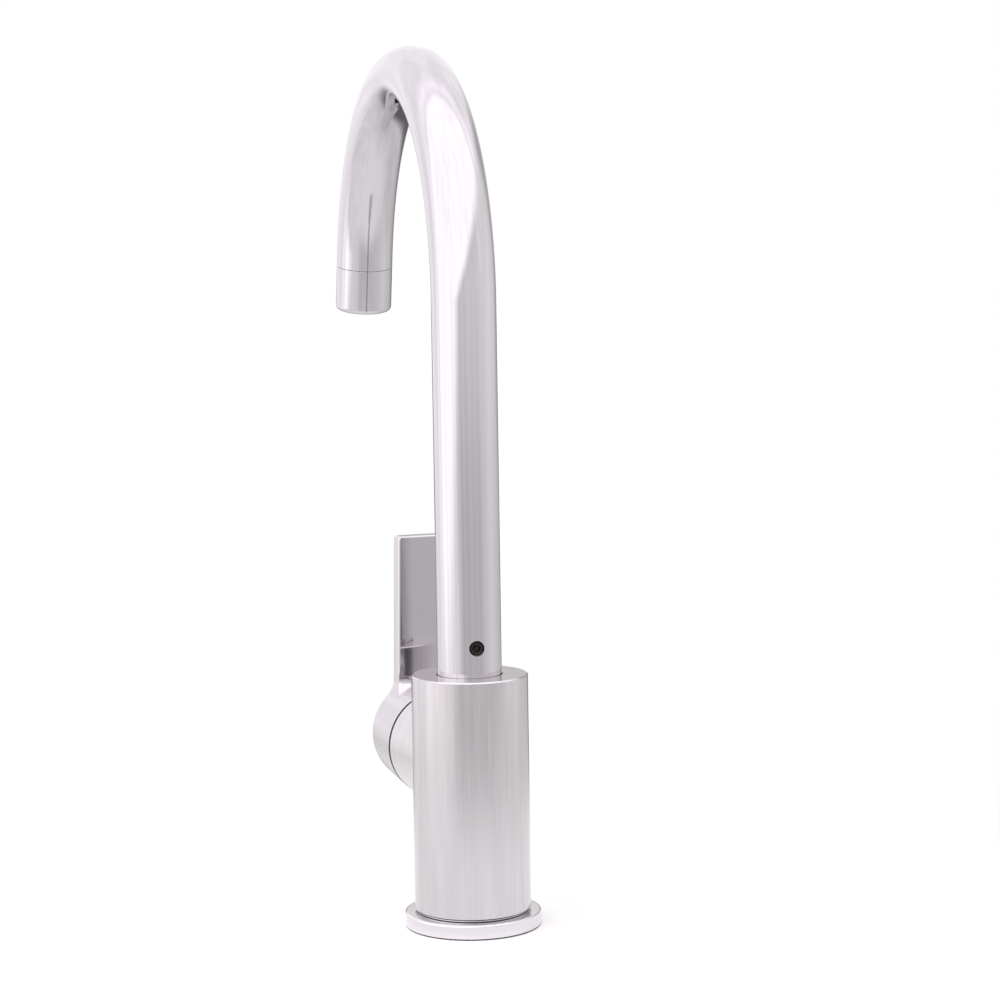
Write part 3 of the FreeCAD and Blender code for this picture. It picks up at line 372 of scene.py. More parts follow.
@dataclass(frozen=True)
class MouldedPlastic(Finish):
    """Moulded plastic: an even colour with a slight flow pattern and a soft grain."""

    def dress(self, shader: Shader, principled: bpy.types.Node) -> None:
        """Flow lines in the colour, and a grain in roughness and bump."""
        link = shader.tree.links.new
        flow = shader.noise(120.0, 3.0)
        shade = tuple(c * 0.9 for c in self.colour)
        link(shader.mix(flow, shade, self.colour), principled.inputs["Base Color"])
        grain = shader.noise(2600.0, 1.0)
        link((self.roughness + 0.12 * (grain - 0.5)).socket, principled.inputs["Roughness"])
        link(shader.bump(grain, 0.00001), principled.inputs["Normal"])


@dataclass(frozen=True)
class WovenSteel(Finish):
    """Woven wire: a square weave in bump and colour."""

    pitch: float = 0.0006

    def dress(self, shader: Shader, principled: bpy.types.Node) -> None:
        """The weave along X and Y, with painted shade in its openings, which are also rougher."""
        link = shader.tree.links.new
        split = shader.node("ShaderNodeSeparateXYZ", Vector=shader.place())
        turns = 2.0 * math.pi / self.pitch
        across = (shader.signal(split, "X") * turns).maths("SINE")
        along = (shader.signal(split, "Y") * turns).maths("SINE")
        weave = across.maths("MAXIMUM", along)
        shaded_openings = 1.0 - weave.step(-0.2, 0.5)
        # Painted shade: the openings are coloured near-black for the shade seen through them.
        link(shader.mix(shaded_openings, self.colour, (0.03, 0.03, 0.03)), principled.inputs["Base Color"])
        link((self.roughness + 0.3 * shaded_openings).socket, principled.inputs["Roughness"])
        link(shader.bump(weave, 0.00012), principled.inputs["Normal"])


CHROME = PolishedChrome("polished_chrome", Slot.CHROME, (0.645, 0.618, 0.650), 0.035, 1.0)
BODY_CHROME = BuffedChrome(
    "buffed_chrome", Slot.CHROME, (0.685, 0.655, 0.675), 0.14, 1.0,
    wave_depth=0.03 * MM, streak_depth=0.006 * MM,
)
# Painted light: the flange's chrome is a brighter copy of the polished chrome, standing in for the
# brighter floor it reflects.
BRIGHTENED_FLANGE_CHROME = PolishedChrome("brightened_flange_chrome", Slot.CHROME, (0.80, 0.77, 0.80), 0.05, 1.0)
BRASS = MachinedBrass("machined_brass", Slot.BRASS, (0.74, 0.53, 0.25), 0.3, 1.0)
RUBBER = Elastomer("black_elastomer", Slot.RUBBER, (0.016, 0.016, 0.017), 0.62)
WHITE_ACETAL = MouldedPlastic("white_acetal_resin", Slot.WHITE_ACETAL, (0.8, 0.8, 0.78), 0.4)
BLACK_ACETAL = MouldedPlastic("black_acetal_resin", Slot.BLACK_ACETAL, (0.02, 0.02, 0.021), 0.42)
RING_ACETAL = MouldedPlastic("ring_acetal_resin", Slot.BLACK_ACETAL, (0.004, 0.004, 0.0045), 0.75)
GREY_PLASTIC = MouldedPlastic("cartridge_resin", Slot.CARTRIDGE, (0.16, 0.17, 0.18), 0.45)
CERAMIC = MouldedPlastic("ground_ceramic", Slot.CERAMIC, (0.82, 0.81, 0.78), 0.16)
WOVEN = WovenSteel("woven_steel", Slot.MESH, (0.55, 0.55, 0.54), 0.34, 1.0)
BLACK_STEEL = MouldedPlastic("black_oxide", Slot.BLACK_STEEL, (0.03, 0.03, 0.032), 0.34, 0.8)


# Modelling


class Workpiece:
    """One mesh in edit mode, shaped by operators as by hand."""

    def __init__(self, name: str) -> None:
        """Starts with one vertex at the origin.

        Args:
            name: The piece's name.
        """
        bpy.ops.object.select_all(action="DESELECT")
        bpy.ops.mesh.primitive_plane_add(size=MM)
        self.thing = bpy.context.object
        self.thing.name = self.thing.data.name = name
        bpy.ops.object.mode_set(mode="EDIT")
        bpy.ops.mesh.select_mode(type="VERT")
        bpy.ops.mesh.select_all(action="SELECT")
        bpy.ops.mesh.merge(type="CENTER")

    def pen_to(self, x: float, y: float, z: float) -> None:
        """Moves the selected vertices so that their middle is at a point."""
        mesh = bmesh.from_edit_mesh(self.thing.data)
        picked = [v.co for v in mesh.verts if v.select]
        middle = sum(picked, Vector()) / len(picked)
        bpy.ops.transform.translate(value=Vector((x, y, z)) - middle)

    def line_to(self, x: float, y: float, z: float) -> None:
        """Extrudes the selected vertex to a point."""
        mesh = bmesh.from_edit_mesh(self.thing.data)
        here = next(v.co for v in mesh.verts if v.select)
        shift = Vector((x, y, z)) - here
        bpy.ops.mesh.extrude_region_move(TRANSFORM_OT_translate={"value": shift})

    def pick(self, wanted: Callable[[Vector], bool]) -> None:
        """Selects the vertices whose place is wanted, and the edges and faces between them."""
        mesh = bmesh.from_edit_mesh(self.thing.data)
        for face in mesh.faces:
            face.select = False
        for edge in mesh.edges:
            edge.select = False
        for vertex in mesh.verts:
            vertex.select = wanted(vertex.co)
        mesh.select_flush(True)
        bmesh.update_edit_mesh(self.thing.data)

    def spin(self, axis: Vector, centre: Vector, angle: float, steps: int) -> None:
        """Spins what is selected about an axis."""
        bpy.ops.mesh.spin(steps=steps, angle=angle, center=centre, axis=axis, dupli=False)

    def close(self, merge: float = 0.000001) -> None:
        """Merges doubles and points every face outwards."""
        bpy.ops.mesh.select_all(action="SELECT")
        bpy.ops.mesh.remove_doubles(threshold=merge)
        bpy.ops.mesh.normals_make_consistent(inside=False)

    def done(self) -> bpy.types.Object:
        """Leaves edit mode."""
        bpy.ops.object.mode_set(mode="OBJECT")
        return self.thing


def turned(name: str, profile: Iterable[tuple[float, ...]], steps: int = 128) -> bpy.types.Object:
    """A lathe piece about +Z.

    Args:
        name: The piece's name.
        profile: Corners (radius, height) or (radius, height, rounding), in order round the section.
        steps: Segments round the axis.

    Returns:
        The closed piece, in object mode.
    """
    corners = list(profile)
    work = Workpiece(name)
    work.pen_to(corners[0][0], 0.0, corners[0][1])
    for corner in corners[1:]:
        work.line_to(corner[0], 0.0, corner[1])
    bpy.ops.mesh.select_all(action="SELECT")
    if corners[0][0] > 0.0:
        mesh = bmesh.from_edit_mesh(work.thing.data)
        ends = [Vector((corner[0], 0.0, corner[1])) for corner in (corners[0], corners[-1])]
        mesh.edges.new([min(mesh.verts, key=lambda v, spot=spot: (v.co - spot).length) for spot in ends])
        bmesh.update_edit_mesh(work.thing.data)
    for corner in corners:
        if len(corner) > 2:
            spot = Vector((corner[0], 0.0, corner[1]))
            work.pick(lambda place: (place - spot).length < MM * 0.01)
            bpy.ops.mesh.bevel(offset=corner[2], offset_type="OFFSET", segments=6, affect="VERTICES")
    bpy.ops.mesh.select_all(action="SELECT")
    work.spin(UP, Vector(), 2.0 * math.pi, steps)
    work.close()
    return work.done()


class RingChain(Workpiece):
    """A closed piece drawn out ring by ring, each with as many corners as the first."""

    def __init__(self, name: str, first: list[Vector]) -> None:
        """Lays the first ring, which closes the piece at that end.

        Args:
            name: The piece's name.
            first: The corners of the first ring.
        """
        bpy.ops.object.select_all(action="DESELECT")
        bpy.ops.mesh.primitive_circle_add(vertices=len(first), radius=MM, fill_type="NGON")
        self.thing = bpy.context.object
        self.thing.name = self.thing.data.name = name
        bpy.ops.object.mode_set(mode="EDIT")
        bpy.ops.mesh.select_all(action="SELECT")
        mesh = bmesh.from_edit_mesh(self.thing.data)
        mesh.verts.ensure_lookup_table()
        self.last: dict[tuple[float, ...], int] = {}
        self.lay({vertex.index: vertex for vertex in mesh.verts}, first)

    def lay(self, ring: dict[int, bmesh.types.BMVert], places: list[Vector]) -> None:
        """Puts a ring's vertices in their places and remembers them.

        Args:
            ring: The vertices by their number in the ring.
            places: Where each goes.
        """
        for number, vertex in ring.items():
            vertex.co = places[number]
        self.last = {tuple(vertex.co): number for number, vertex in ring.items()}
        bmesh.update_edit_mesh(self.thing.data)

    def ring(self, places: list[Vector]) -> None:
        """Extrudes the end of the piece to a new ring."""
        bpy.ops.mesh.extrude_region_move()
        mesh = bmesh.from_edit_mesh(self.thing.data)
        picked = {self.last[tuple(vertex.co)]: vertex for vertex in mesh.verts if vertex.select}
        self.lay(picked, places)


@dataclass(frozen=True)
class GrubScrew:
    """A headless screw with a hexagon socket, a helical thread and a cup point.

    Its own frame has the socket's end at the origin, facing +Z.
    """

    radius: float
    length: float
    key: float
    pitch: float
    groove: float = 0.25 * MM
    chamfer: float = 0.35 * MM
    cup: float = 1.2 * MM
    cup_depth: float = 0.6 * MM
    point: float = 0.1 * MM
    key_chamfer: float = 0.12 * MM
    rings_per_turn: int = 8
    around: int = 60

    def circle(self, radius: float, height: float) -> list[Vector]:
        """A plain ring."""
        turns = (2.0 * math.pi * number / self.around for number in range(self.around))
        return [Vector((radius * math.cos(turn), radius * math.sin(turn), height)) for turn in turns]

    def hexagon(self, height: float) -> list[Vector]:
        """The socket's outline, its flats half the key from the axis."""
        places = []
        for number, spot in enumerate(self.circle(1.0, 0.0)):
            turn = (360.0 * number / self.around) % 60.0 - 30.0
            reach = self.key / 2.0 / math.cos(math.radians(turn))
            places.append(Vector((spot.x * reach, spot.y * reach, height)))
        return places

    def thread(self, height: float) -> list[Vector]:
        """A ring of the thread, its groove where the helix passes."""
        run_in = min(1.0, max(0.0, min(-height, height + self.length) / self.pitch))
        places = []
        for number, spot in enumerate(self.circle(1.0, 0.0)):
            phase = (number / self.around - height / self.pitch) % 1.0
            reach = self.radius - self.groove * abs(2.0 * phase - 1.0) - self.chamfer * (1.0 - run_in)
            places.append(Vector((spot.x * reach, spot.y * reach, height)))
        return places

    def model(self, name: str) -> bpy.types.Object:
        """Draws the screw out from the socket's bottom to the cup point.

        Args:
            name: The piece's name.

        Returns:
            The closed screw.
        """
        depth = self.length / 2.0
        work = RingChain(name, self.circle(self.point, -depth - 0.25 * self.key))
        work.ring(self.circle(self.key / 2.0 - 0.02 * MM, -depth))
        work.ring(self.hexagon(-depth + 0.01 * MM))
        work.ring(self.hexagon(-self.key_chamfer))
        work.ring(self.circle(self.key * 0.62, 0.0))
        work.ring(self.circle(self.radius - self.chamfer - self.groove, 0.0))
        steps = round(self.length / self.pitch * self.rings_per_turn)
        for step in range(1, steps):
            work.ring(self.thread(-self.length * step / steps))
        work.ring(self.circle(self.cup, -self.length))
        work.ring(self.circle(self.point, -self.length + self.cup_depth))
        work.close()
        return work.done()


def settle(
    piece: bpy.types.Object, matrix: Matrix | None = None, sharp_from: float = 32.0
) -> bpy.types.Object:
    """Puts a piece in its place in its mesh and gives it smooth, area-weighted normals.

    Args:
        piece: The modelled piece.
        matrix: Where it goes, or None where it is modelled in place.
        sharp_from: Angle in degrees from which an edge stays sharp.

    Returns:
        The piece.
    """
    if matrix is not None:
        piece.data.transform(matrix)
    bpy.ops.object.select_all(action="DESELECT")
    piece.select_set(True)
    bpy.context.view_layer.objects.active = piece
    bpy.ops.object.transform_apply(location=True, rotation=True, scale=True)
    bpy.ops.object.shade_smooth_by_angle(angle=math.radians(sharp_from))
    weighted = piece.modifiers.new("weighted", "WEIGHTED_NORMAL")
    weighted.keep_sharp = True
    weighted.weight = 100
    bpy.ops.object.modifier_apply(modifier=weighted.name)
    return piece


def carve(piece: bpy.types.Object, cutter: bpy.types.Object) -> None:
    """Cuts one closed mesh out of another and deletes the cutter."""
    bpy.ops.object.select_all(action="DESELECT")
    bpy.context.view_layer.objects.active = piece
    piece.select_set(True)
    cut = piece.modifiers.new("cut", "BOOLEAN")
    cut.operation = "DIFFERENCE"
    cut.solver = "EXACT"
    cut.object = cutter
    bpy.ops.object.modifier_apply(modifier=cut.name)
    bpy.data.objects.remove(cutter)


def fit(piece: bpy.types.Object, finish: Finish, body: Body, *nodes: str) -> bpy.types.Object:
    """Gives a piece its finish and its place in the frame.

    Args:
        piece: The finished mesh.
        finish: What it is made of.
        body: The body that it rides on.
        nodes: The CAD nodes that it stands for.

    Returns:
        The piece.
    """
    piece.data.materials.clear()
    piece.data.materials.append(finish.material())
    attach(piece, body.value)
    if nodes:
        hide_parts(*nodes)
    LOG.info("%s: %d faces, rides on %s", piece.name, len(piece.data.polygons), body.value)
    return piece


def dress_node(node: str, finish: Finish) -> None:
    """Gives a carried-over CAD node its finish."""
    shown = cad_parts[node]
    for place in shown.material_slots:
        place.material = finish.material()
    LOG.info("%s: kept, %s", node, finish.name)


# The faucet


def hub_frame(height: float, turn: float) -> Matrix:
    """The hub's frame: +Z out along its axis and +Y up."""
    turned_out = Matrix.Rotation(turn, 4, "Z") @ Matrix.Rotation(math.pi / 2.0, 4, "X")
    return Matrix.Translation((0.0, 0.0, height)) @ turned_out


@dataclass
class SwanNeck:
    """The bent tube, its outlet collar and the grub screw at its back."""

    radius: float = 12.7 * MM
    wall: float = 1.5 * MM
    foot: float = 97.05 * MM
    bend_start: float = 246.5 * MM
    bend_radius: float = 93.5 * MM
    sweep: float = math.radians(167.3)
    tail: float = 6.5 * MM
    seam: float = 0.2 * MM
    collar: float = 20.2 * MM
    rim_round: float = 2.0 * MM
    chamber: float = 10.5 * MM
    chamber_floor: float = 9.0 * MM
    throat: float = 8.7 * MM
    spigot: float = 9.95 * MM
    screw_height: float = 111.7 * MM
    screw_face: float = 11.9 * MM
    hole: float = 3.05 * MM
    around: int = 144
    along: int = 150

    def outlet(self) -> Matrix:
        """Frame of the outlet: origin at the tube's end, +Z the way the water goes."""
        lean, rise = math.sin(self.sweep), math.cos(self.sweep)
        end = Vector((0.0, -self.bend_radius * (1.0 - rise), self.bend_start + self.bend_radius * lean))
        way = Vector((0.0, -lean, rise))
        end += way * self.tail
        return Matrix.Translation(end) @ UP.rotation_difference(way).to_matrix().to_4x4()

    def tube(self) -> bpy.types.Object:
        """The tube's outside drawn out and spun, then given its wall and its screw hole."""
        bpy.ops.object.select_all(action="DESELECT")
        bpy.ops.mesh.primitive_circle_add(
            vertices=self.around, radius=self.radius, fill_type="NOTHING", location=(0.0, 0.0, self.foot)
        )
        tube = bpy.context.object
        tube.name = tube.data.name = "swan_neck_tube"
        bpy.ops.object.transform_apply(location=True)
        bpy.ops.object.mode_set(mode="EDIT")
        bpy.ops.mesh.select_all(action="SELECT")
        reach = 2.0 * self.hole
        heights = [self.screw_height - reach, self.screw_height + reach, self.bend_start]
        for low, high in zip([self.foot, *heights], heights):
            bpy.ops.mesh.extrude_region_move(TRANSFORM_OT_translate={"value": (0.0, 0.0, high - low)})
        centre = (0.0, -self.bend_radius, self.bend_start)
        bpy.ops.mesh.spin(steps=self.along, angle=self.sweep, center=centre, axis=(-1.0, 0.0, 0.0))
        way = self.outlet().to_3x3() @ UP
        bpy.ops.mesh.extrude_region_move(TRANSFORM_OT_translate={"value": way * self.tail})
        bpy.ops.mesh.select_all(action="SELECT")
        bpy.ops.mesh.remove_doubles(threshold=0.000001)
        bpy.ops.mesh.normals_make_consistent(inside=False)
        bpy.ops.object.mode_set(mode="OBJECT")
        shell = tube.modifiers.new("wall", "SOLIDIFY")
        shell.thickness = self.wall
        shell.offset = -1.0
        bpy.ops.object.modifier_apply(modifier=shell.name)
        bpy.ops.mesh.primitive_cylinder_add(
            vertices=64, radius=self.hole, depth=self.radius,
            location=(0.0, self.radius, self.screw_height), rotation=(math.pi / 2.0, 0.0, 0.0),
        )
        cutter = bpy.context.object
        carve(tube, cutter)
        return settle(tube)

    def outlet_collar(self) -> bpy.types.Object:
        """The outlet collar with its rounded rim and the aerator's chamber."""
        end = self.seam + self.collar
        crisp = 0.15 * MM
        collar = turned(
            "outlet_collar",
            [
                (self.throat, -self.tail, crisp),
                (self.spigot, -self.tail, 0.5 * MM),
                (self.spigot, self.seam),
                (self.radius, self.seam, crisp),
                (self.radius, end, self.rim_round),
                (self.chamber, end, 0.3 * MM),
                (self.chamber, self.chamber_floor),
                (self.throat, self.chamber_floor, crisp),
            ],
            self.around,
        )
        return settle(collar, self.outlet())

    def build(self) -> None:
        """Builds and fits the spout's pieces."""
        fit(self.tube(), CHROME, Body.SPOUT, "spout_tube")
        fit(self.outlet_collar(), CHROME, Body.SPOUT, "aerator_collar")
        dress_node("aerator_core", WHITE_ACETAL)
        dress_node("aerator_screen", WOVEN)
        dress_node("aerator_washer", RUBBER)
        dress_node("outlet_insert", BRASS)
        dress_node("spout_adapter", BRASS)
        dress_node("lower_o_ring", RUBBER)
        dress_node("upper_o_ring", RUBBER)
        screw = GrubScrew(2.95 * MM, 5.0 * MM, 3.0 * MM, 1.0 * MM).model("tube_grub_screw")
        place = Matrix.Translation((0.0, self.screw_face, self.screw_height))
        settle(screw, place @ Matrix.Rotation(-math.pi / 2.0, 4, "X"))
        fit(screw, BLACK_STEEL, Body.SPOUT, "spout_grub_screw")


@dataclass
class Foot:
    """The base flange and the gasket under it."""

    bore: float = 19.05 * MM
    side: float = 27.0 * MM
    lift: float = 0.3 * MM
    top: float = 5.7 * MM
    edge: float = 0.8 * MM
    gasket_inner: float = 20.5 * MM
    gasket_outer: float = 25.5 * MM
    gasket_top: float = 1.5 * MM
    lip: float = 26.75 * MM
    lip_top: float = 0.27 * MM
    channels: tuple[float, ...] = (24.0 * MM, 22.0 * MM)
    channel: float = 0.9 * MM
    channel_depth: float = 0.4 * MM
    slip: float = 0.05 * MM

    def flange(self) -> bpy.types.Object:
        """The wide ring on the deck."""
        roof = self.gasket_top + self.slip
        inner, outer = self.gasket_inner - self.slip, self.gasket_outer + self.slip
        ring = turned(
            "deck_flange",
            [
                (self.bore, self.lift),
                (inner, self.lift),
                (inner, roof),
                (outer, roof),
                (outer, self.lift),
                (self.side, self.lift, 0.25 * MM),
                (self.side, self.top, self.edge),
                (self.bore, self.top),
            ],
            192,
        )
        return settle(ring)

    def gasket(self) -> bpy.types.Object:
        """The rubber ring under the flange, with two channels on top and a thin lip at its edge."""
        top, low = self.gasket_top, self.gasket_top - self.channel_depth
        corner, blunt = 0.1 * MM, 0.2 * MM
        profile = [(self.gasket_inner, 0.0), (self.lip, 0.0, corner), (self.lip, self.lip_top, corner)]
        profile += [(self.gasket_outer, self.lip_top), (self.gasket_outer, top, blunt)]
        wide, narrow = self.channel, self.channel / 2.0
        for middle in self.channels:
            profile += [(middle + wide, top), (middle + narrow, low)]
            profile += [(middle - narrow, low), (middle - wide, top)]
        profile.append((self.gasket_inner, top, blunt))
        return settle(turned("deck_gasket", profile, 160))

    def build(self) -> None:
        """Builds and fits the foot's pieces."""
        fit(self.flange(), BRIGHTENED_FLANGE_CHROME, Body.FIXED, "base_flange")
        fit(self.gasket(), RUBBER, Body.FIXED, "base_gasket")


@dataclass
class Barrel:
    """The round body with its hub, the ring in the groove beside it, and what is sealed inside."""

    hub_height: float = 66.2 * MM
    hub_turn: float = math.radians(7.5)
    ring_inner: float = 18.6 * MM
    ring_outer: float = 21.55 * MM
    ring_start: float = 34.03 * MM
    ring_end: float = 36.07 * MM
    kept: dict[str, Finish] = field(
        default_factory=lambda: {
            "body_casting": BODY_CHROME,
            "upper_glide_ring": WHITE_ACETAL,
            "lower_glide_ring": WHITE_ACETAL,
            "spout_clip": WHITE_ACETAL,
            "cartridge_base": GREY_PLASTIC,
            "cartridge_housing": GREY_PLASTIC,
            "port_seals": RUBBER,
            "fixed_ceramic_disc": CERAMIC,
            "cartridge_nut": BRASS,
        }
    )

    def groove_ring(self) -> bpy.types.Object:
        """The dark ring that fills the groove between hub and lever."""
        crisp = 0.12 * MM
        ring = turned(
            "groove_ring",
            [
                (self.ring_inner, self.ring_start),
                (self.ring_outer, self.ring_start, crisp),
                (self.ring_outer, self.ring_end, crisp),
                (self.ring_inner, self.ring_end),
            ],
            160,
        )
        return settle(ring, hub_frame(self.hub_height, self.hub_turn))

    def build(self) -> None:
        """Builds the ring and dresses the body's nodes."""
        fit(self.groove_ring(), RING_ACETAL, Body.FIXED, "hub_glide_ring")
        for node, finish in self.kept.items():
            dress_node(node, finish)


@dataclass
class SideLever:
    """The lever, drawn out along the hub's axis, and what turns with it.

    Its own frame has X across the blade, Y up and Z out along the hub's axis.
    """

    hub_height: float = 66.2 * MM
    hub_turn: float = math.radians(7.5)
    radius: float = 21.6 * MM
    open_end: float = 36.1 * MM
    end: float = 56.9 * MM
    draft: float = 0.55 * MM
    rise: float = 2.2 * MM
    inner_face: float = 50.4 * MM
    root_round: float = 5.0 * MM
    half_tip: float = 10.2 * MM
    taper: float = math.radians(1.15)
    top: float = 83.8 * MM
    flare: float = 10.0 * MM
    corner: float = 1.3 * MM
    edge: float = 0.8 * MM
    cavity: float = 18.2 * MM
    cavity_end: float = 47.7 * MM
    boss: float = 7.5 * MM
    boss_end: float = 42.7 * MM
    bore: float = 3.55 * MM
    bore_end: float = 54.45 * MM
    screw_depth: float = 51.9 * MM
    screw_face: float = 9.55 * MM
    screw_hole: float = 2.5 * MM
    tip_steps: int = 6
    corner_steps: int = 6
    side_steps: int = 28
    flare_steps: int = 10
    cap_steps: int = 48
    lip_steps: int = 4
    root_steps: int = 10
    inner_steps: int = 4
    outer_steps: int = 5
    kept: dict[str, Finish] = field(
        default_factory=lambda: {
            "cartridge_stem": BRASS,
            "stem_o_ring": RUBBER,
            "disc_carrier": BLACK_ACETAL,
            "moving_ceramic_disc": CERAMIC,
        }
    )

    def grown(self, depth: float) -> tuple[float, float]:
        """Radius of the cap at a depth, and how far its centre is above the axis there."""
        share = (depth - self.open_end) / (self.end - self.open_end)
        return self.radius - self.draft * share, self.rise * share

    def outline(self, depth: float, inset: float = 0.0) -> list[tuple[float, float]]:
        """The whole outline of cap and blade at a depth, from the top's middle clockwise.

        Args:
            depth: Where along the axis.
            inset: How far the outline is drawn in.

        Returns:
            Corners (x, y) about the axis.
        """
        radius, rise = self.grown(depth)
        radius, flare, corner = radius - inset, self.flare + inset, self.corner - inset
        across, up = math.cos(self.taper), math.sin(self.taper)
        side = self.half_tip * across + self.top * up - inset - rise * up
        reach = math.sqrt((radius + flare) ** 2 - (side + flare) ** 2)
        middle = ((side + flare) * across - reach * up, (side + flare) * up + reach * across)
        meets = math.atan2(middle[1], middle[0])
        half = []
        tip = self.top - inset - rise
        turn_y = tip - corner
        turn_x = (side - corner - turn_y * up) / across
        for step in range(self.tip_steps + 1):
            half.append((turn_x * step / self.tip_steps, tip))
        for step in range(1, self.corner_steps):
            angle = math.pi / 2.0 - (math.pi / 2.0 - self.taper) * step / self.corner_steps
            half.append((turn_x + corner * math.cos(angle), turn_y + corner * math.sin(angle)))
        high = (turn_x + corner * across, turn_y + corner * up)
        low = (middle[0] - flare * across, middle[1] - flare * up)
        for step in range(self.side_steps):
            half.append(tuple(h + (l - h) * step / self.side_steps for h, l in zip(high, low)))
        sweep = meets - self.taper
        for step in range(self.flare_steps):
            angle = math.pi + self.taper + sweep * step / self.flare_steps
            half.append((middle[0] + flare * math.cos(angle), middle[1] + flare * math.sin(angle)))
        for step in range(self.cap_steps + 1):
            angle = meets - (meets + math.pi / 2.0) * step / self.cap_steps
            half.append((radius * math.cos(angle), radius * math.sin(angle)))
        mirrored = [(-x, y) for x, y in reversed(half[1:-1])]
        return [(x, y + rise) for x, y in half + mirrored]

    def clipped(self, depth: float, reach: float) -> list[Vector]:
        """The outline at a depth, with what lies further than reach from the cap's centre drawn in."""
        _, rise = self.grown(depth)
        places = []
        for x, y in self.outline(depth):
            far = math.hypot(x, y - rise)
            share = min(1.0, reach / far)
            places.append(Vector((x * share, rise + (y - rise) * share, depth)))
        return places

    def round_ring(self, depth: float, radius: float) -> list[Vector]:
        """A plain ring about the axis, its corners in line with the outline's."""
        way = [Vector((x, y, 0.0)).normalized() for x, y in self.outline(self.open_end)]
        return [v * radius + Vector((0.0, 0.0, depth)) for v in way]

    def square_ring(self, depth: float) -> list[Vector]:
        """The square bore's outline at a depth."""
        ring = self.round_ring(0.0, 1.0)
        return [v * self.bore / max(abs(v.x), abs(v.y)) + Vector((0.0, 0.0, depth)) for v in ring]

    def softened(self, depth: float, inset: float, blade_only: bool) -> list[Vector]:
        """The full outline drawn in for a rounded edge, on the blade alone where asked."""
        radius, rise = self.grown(depth)
        full, drawn = self.outline(depth), self.outline(depth, inset)
        places = []
        for (x, y), (drawn_x, drawn_y) in zip(full, drawn):
            out = math.hypot(x, y - rise) - radius - self.root_round
            share = min(1.0, max(0.0, out / self.root_round)) if blade_only else 1.0
            places.append(Vector((x + (drawn_x - x) * share, y + (drawn_y - y) * share, depth)))
        return places

    def blade(self) -> bpy.types.Object:
        """The lever: bore, boss and cavity, then the cap outwards, the root and the blade."""
        crisp = 0.3 * MM
        work = RingChain("lever_blade", self.square_ring(self.bore_end))
        work.ring(self.square_ring(self.boss_end))
        work.ring(self.round_ring(self.boss_end, self.boss - crisp))
        work.ring(self.round_ring(self.boss_end + crisp, self.boss))
        work.ring(self.round_ring(self.cavity_end, self.boss))
        work.ring(self.round_ring(self.cavity_end, self.cavity))
        work.ring(self.round_ring(self.open_end + crisp, self.cavity))
        work.ring(self.round_ring(self.open_end, self.cavity + crisp))
        work.ring(self.round_ring(self.open_end, self.radius - crisp))
        for step in range(1, self.lip_steps + 1):
            angle = math.pi / 2.0 * step / self.lip_steps
            depth = self.open_end + crisp * (1.0 - math.cos(angle))
            work.ring(self.clipped(depth, self.grown(depth)[0] - crisp * (1.0 - math.sin(angle))))
        root = self.inner_face - self.root_round
        work.ring(self.clipped(root, self.grown(root)[0]))
        for step in range(1, self.root_steps + 1):
            angle = math.pi / 2.0 * step / self.root_steps
            depth = root + self.root_round * math.sin(angle)
            reach = self.grown(depth)[0] + self.root_round * (1.0 - math.cos(angle))
            work.ring(self.clipped(depth, reach))
        for step in range(self.inner_steps + 1):
            angle = math.pi / 2.0 * step / self.inner_steps
            depth = self.inner_face + self.edge * (1.0 - math.cos(angle))
            work.ring(self.softened(depth, self.edge * (1.0 - math.sin(angle)), True))
        for step in range(self.outer_steps + 1):
            angle = math.pi / 2.0 * step / self.outer_steps
            depth = self.end - self.edge * (1.0 - math.sin(angle))
            work.ring(self.softened(depth, self.edge * (1.0 - math.cos(angle)), False))
        work.close(0.000002)
        lever = work.done()
        bpy.ops.mesh.primitive_cylinder_add(
            vertices=48, radius=self.screw_hole, depth=1.8 * self.radius,
            location=(0.0, -self.radius, self.screw_depth), rotation=(math.pi / 2.0, 0.0, 0.0),
        )
        carve(lever, bpy.context.object)
        return settle(lever, hub_frame(self.hub_height, self.hub_turn))

    def screw(self) -> bpy.types.Object:
        """The grub screw under the cap, its socket downwards."""
        screw = GrubScrew(2.45 * MM, 6.0 * MM, 2.5 * MM, 0.8 * MM).model("cap_grub_screw")
        face = Matrix.Translation((0.0, -self.screw_face, self.screw_depth))
        hub = hub_frame(self.hub_height, self.hub_turn)
        return settle(screw, hub @ face @ Matrix.Rotation(math.pi / 2.0, 4, "X"))

    def build(self) -> None:
        """Builds the lever and its screw, and dresses what turns with them."""
        fit(self.blade(), CHROME, Body.HANDLE, "lever_handle")
        fit(self.screw(), BLACK_STEEL, Body.HANDLE, "lever_grub_screw")
        for node, finish in self.kept.items():
            dress_node(node, finish)


# The studio


@dataclass(frozen=True)
class PhotoCamera:
    """The photograph's camera, as found from the faucet's outlines."""

    place: tuple[float, float, float] = (0.2372, 0.9479, 0.2594)
    heading: float = math.radians(165.95)
    yaw: float = 0.0133
    pitch: float = 0.0928
    roll: float = -0.0148
    lens: float = 90.29
    sensor: float = 36.0

    def turn(self) -> Matrix:
        """The camera's rotation."""
        ahead = Vector(
            (
                math.sin(self.yaw) * math.cos(self.pitch),
                math.cos(self.yaw) * math.cos(self.pitch),
                -math.sin(self.pitch),
            )
        )
        level = Vector((math.cos(self.yaw), -math.sin(self.yaw), 0.0))
        over = level.cross(ahead)
        right = level * math.cos(self.roll) + over * math.sin(self.roll)
        above = over * math.cos(self.roll) - level * math.sin(self.roll)
        axes = Matrix((right, above, -ahead)).transposed()
        return Matrix.Rotation(self.heading, 3, "Z") @ axes

    def build(self) -> None:
        """Creates the camera."""
        data = bpy.data.cameras.new("photo_camera")
        data.lens, data.sensor_width = self.lens, self.sensor
        camera = bpy.data.objects.new("photo_camera", data)
        camera.matrix_world = Matrix.Translation(self.place) @ self.turn().to_4x4()
        bpy.context.scene.collection.objects.link(camera)
        bpy.context.scene.camera = camera


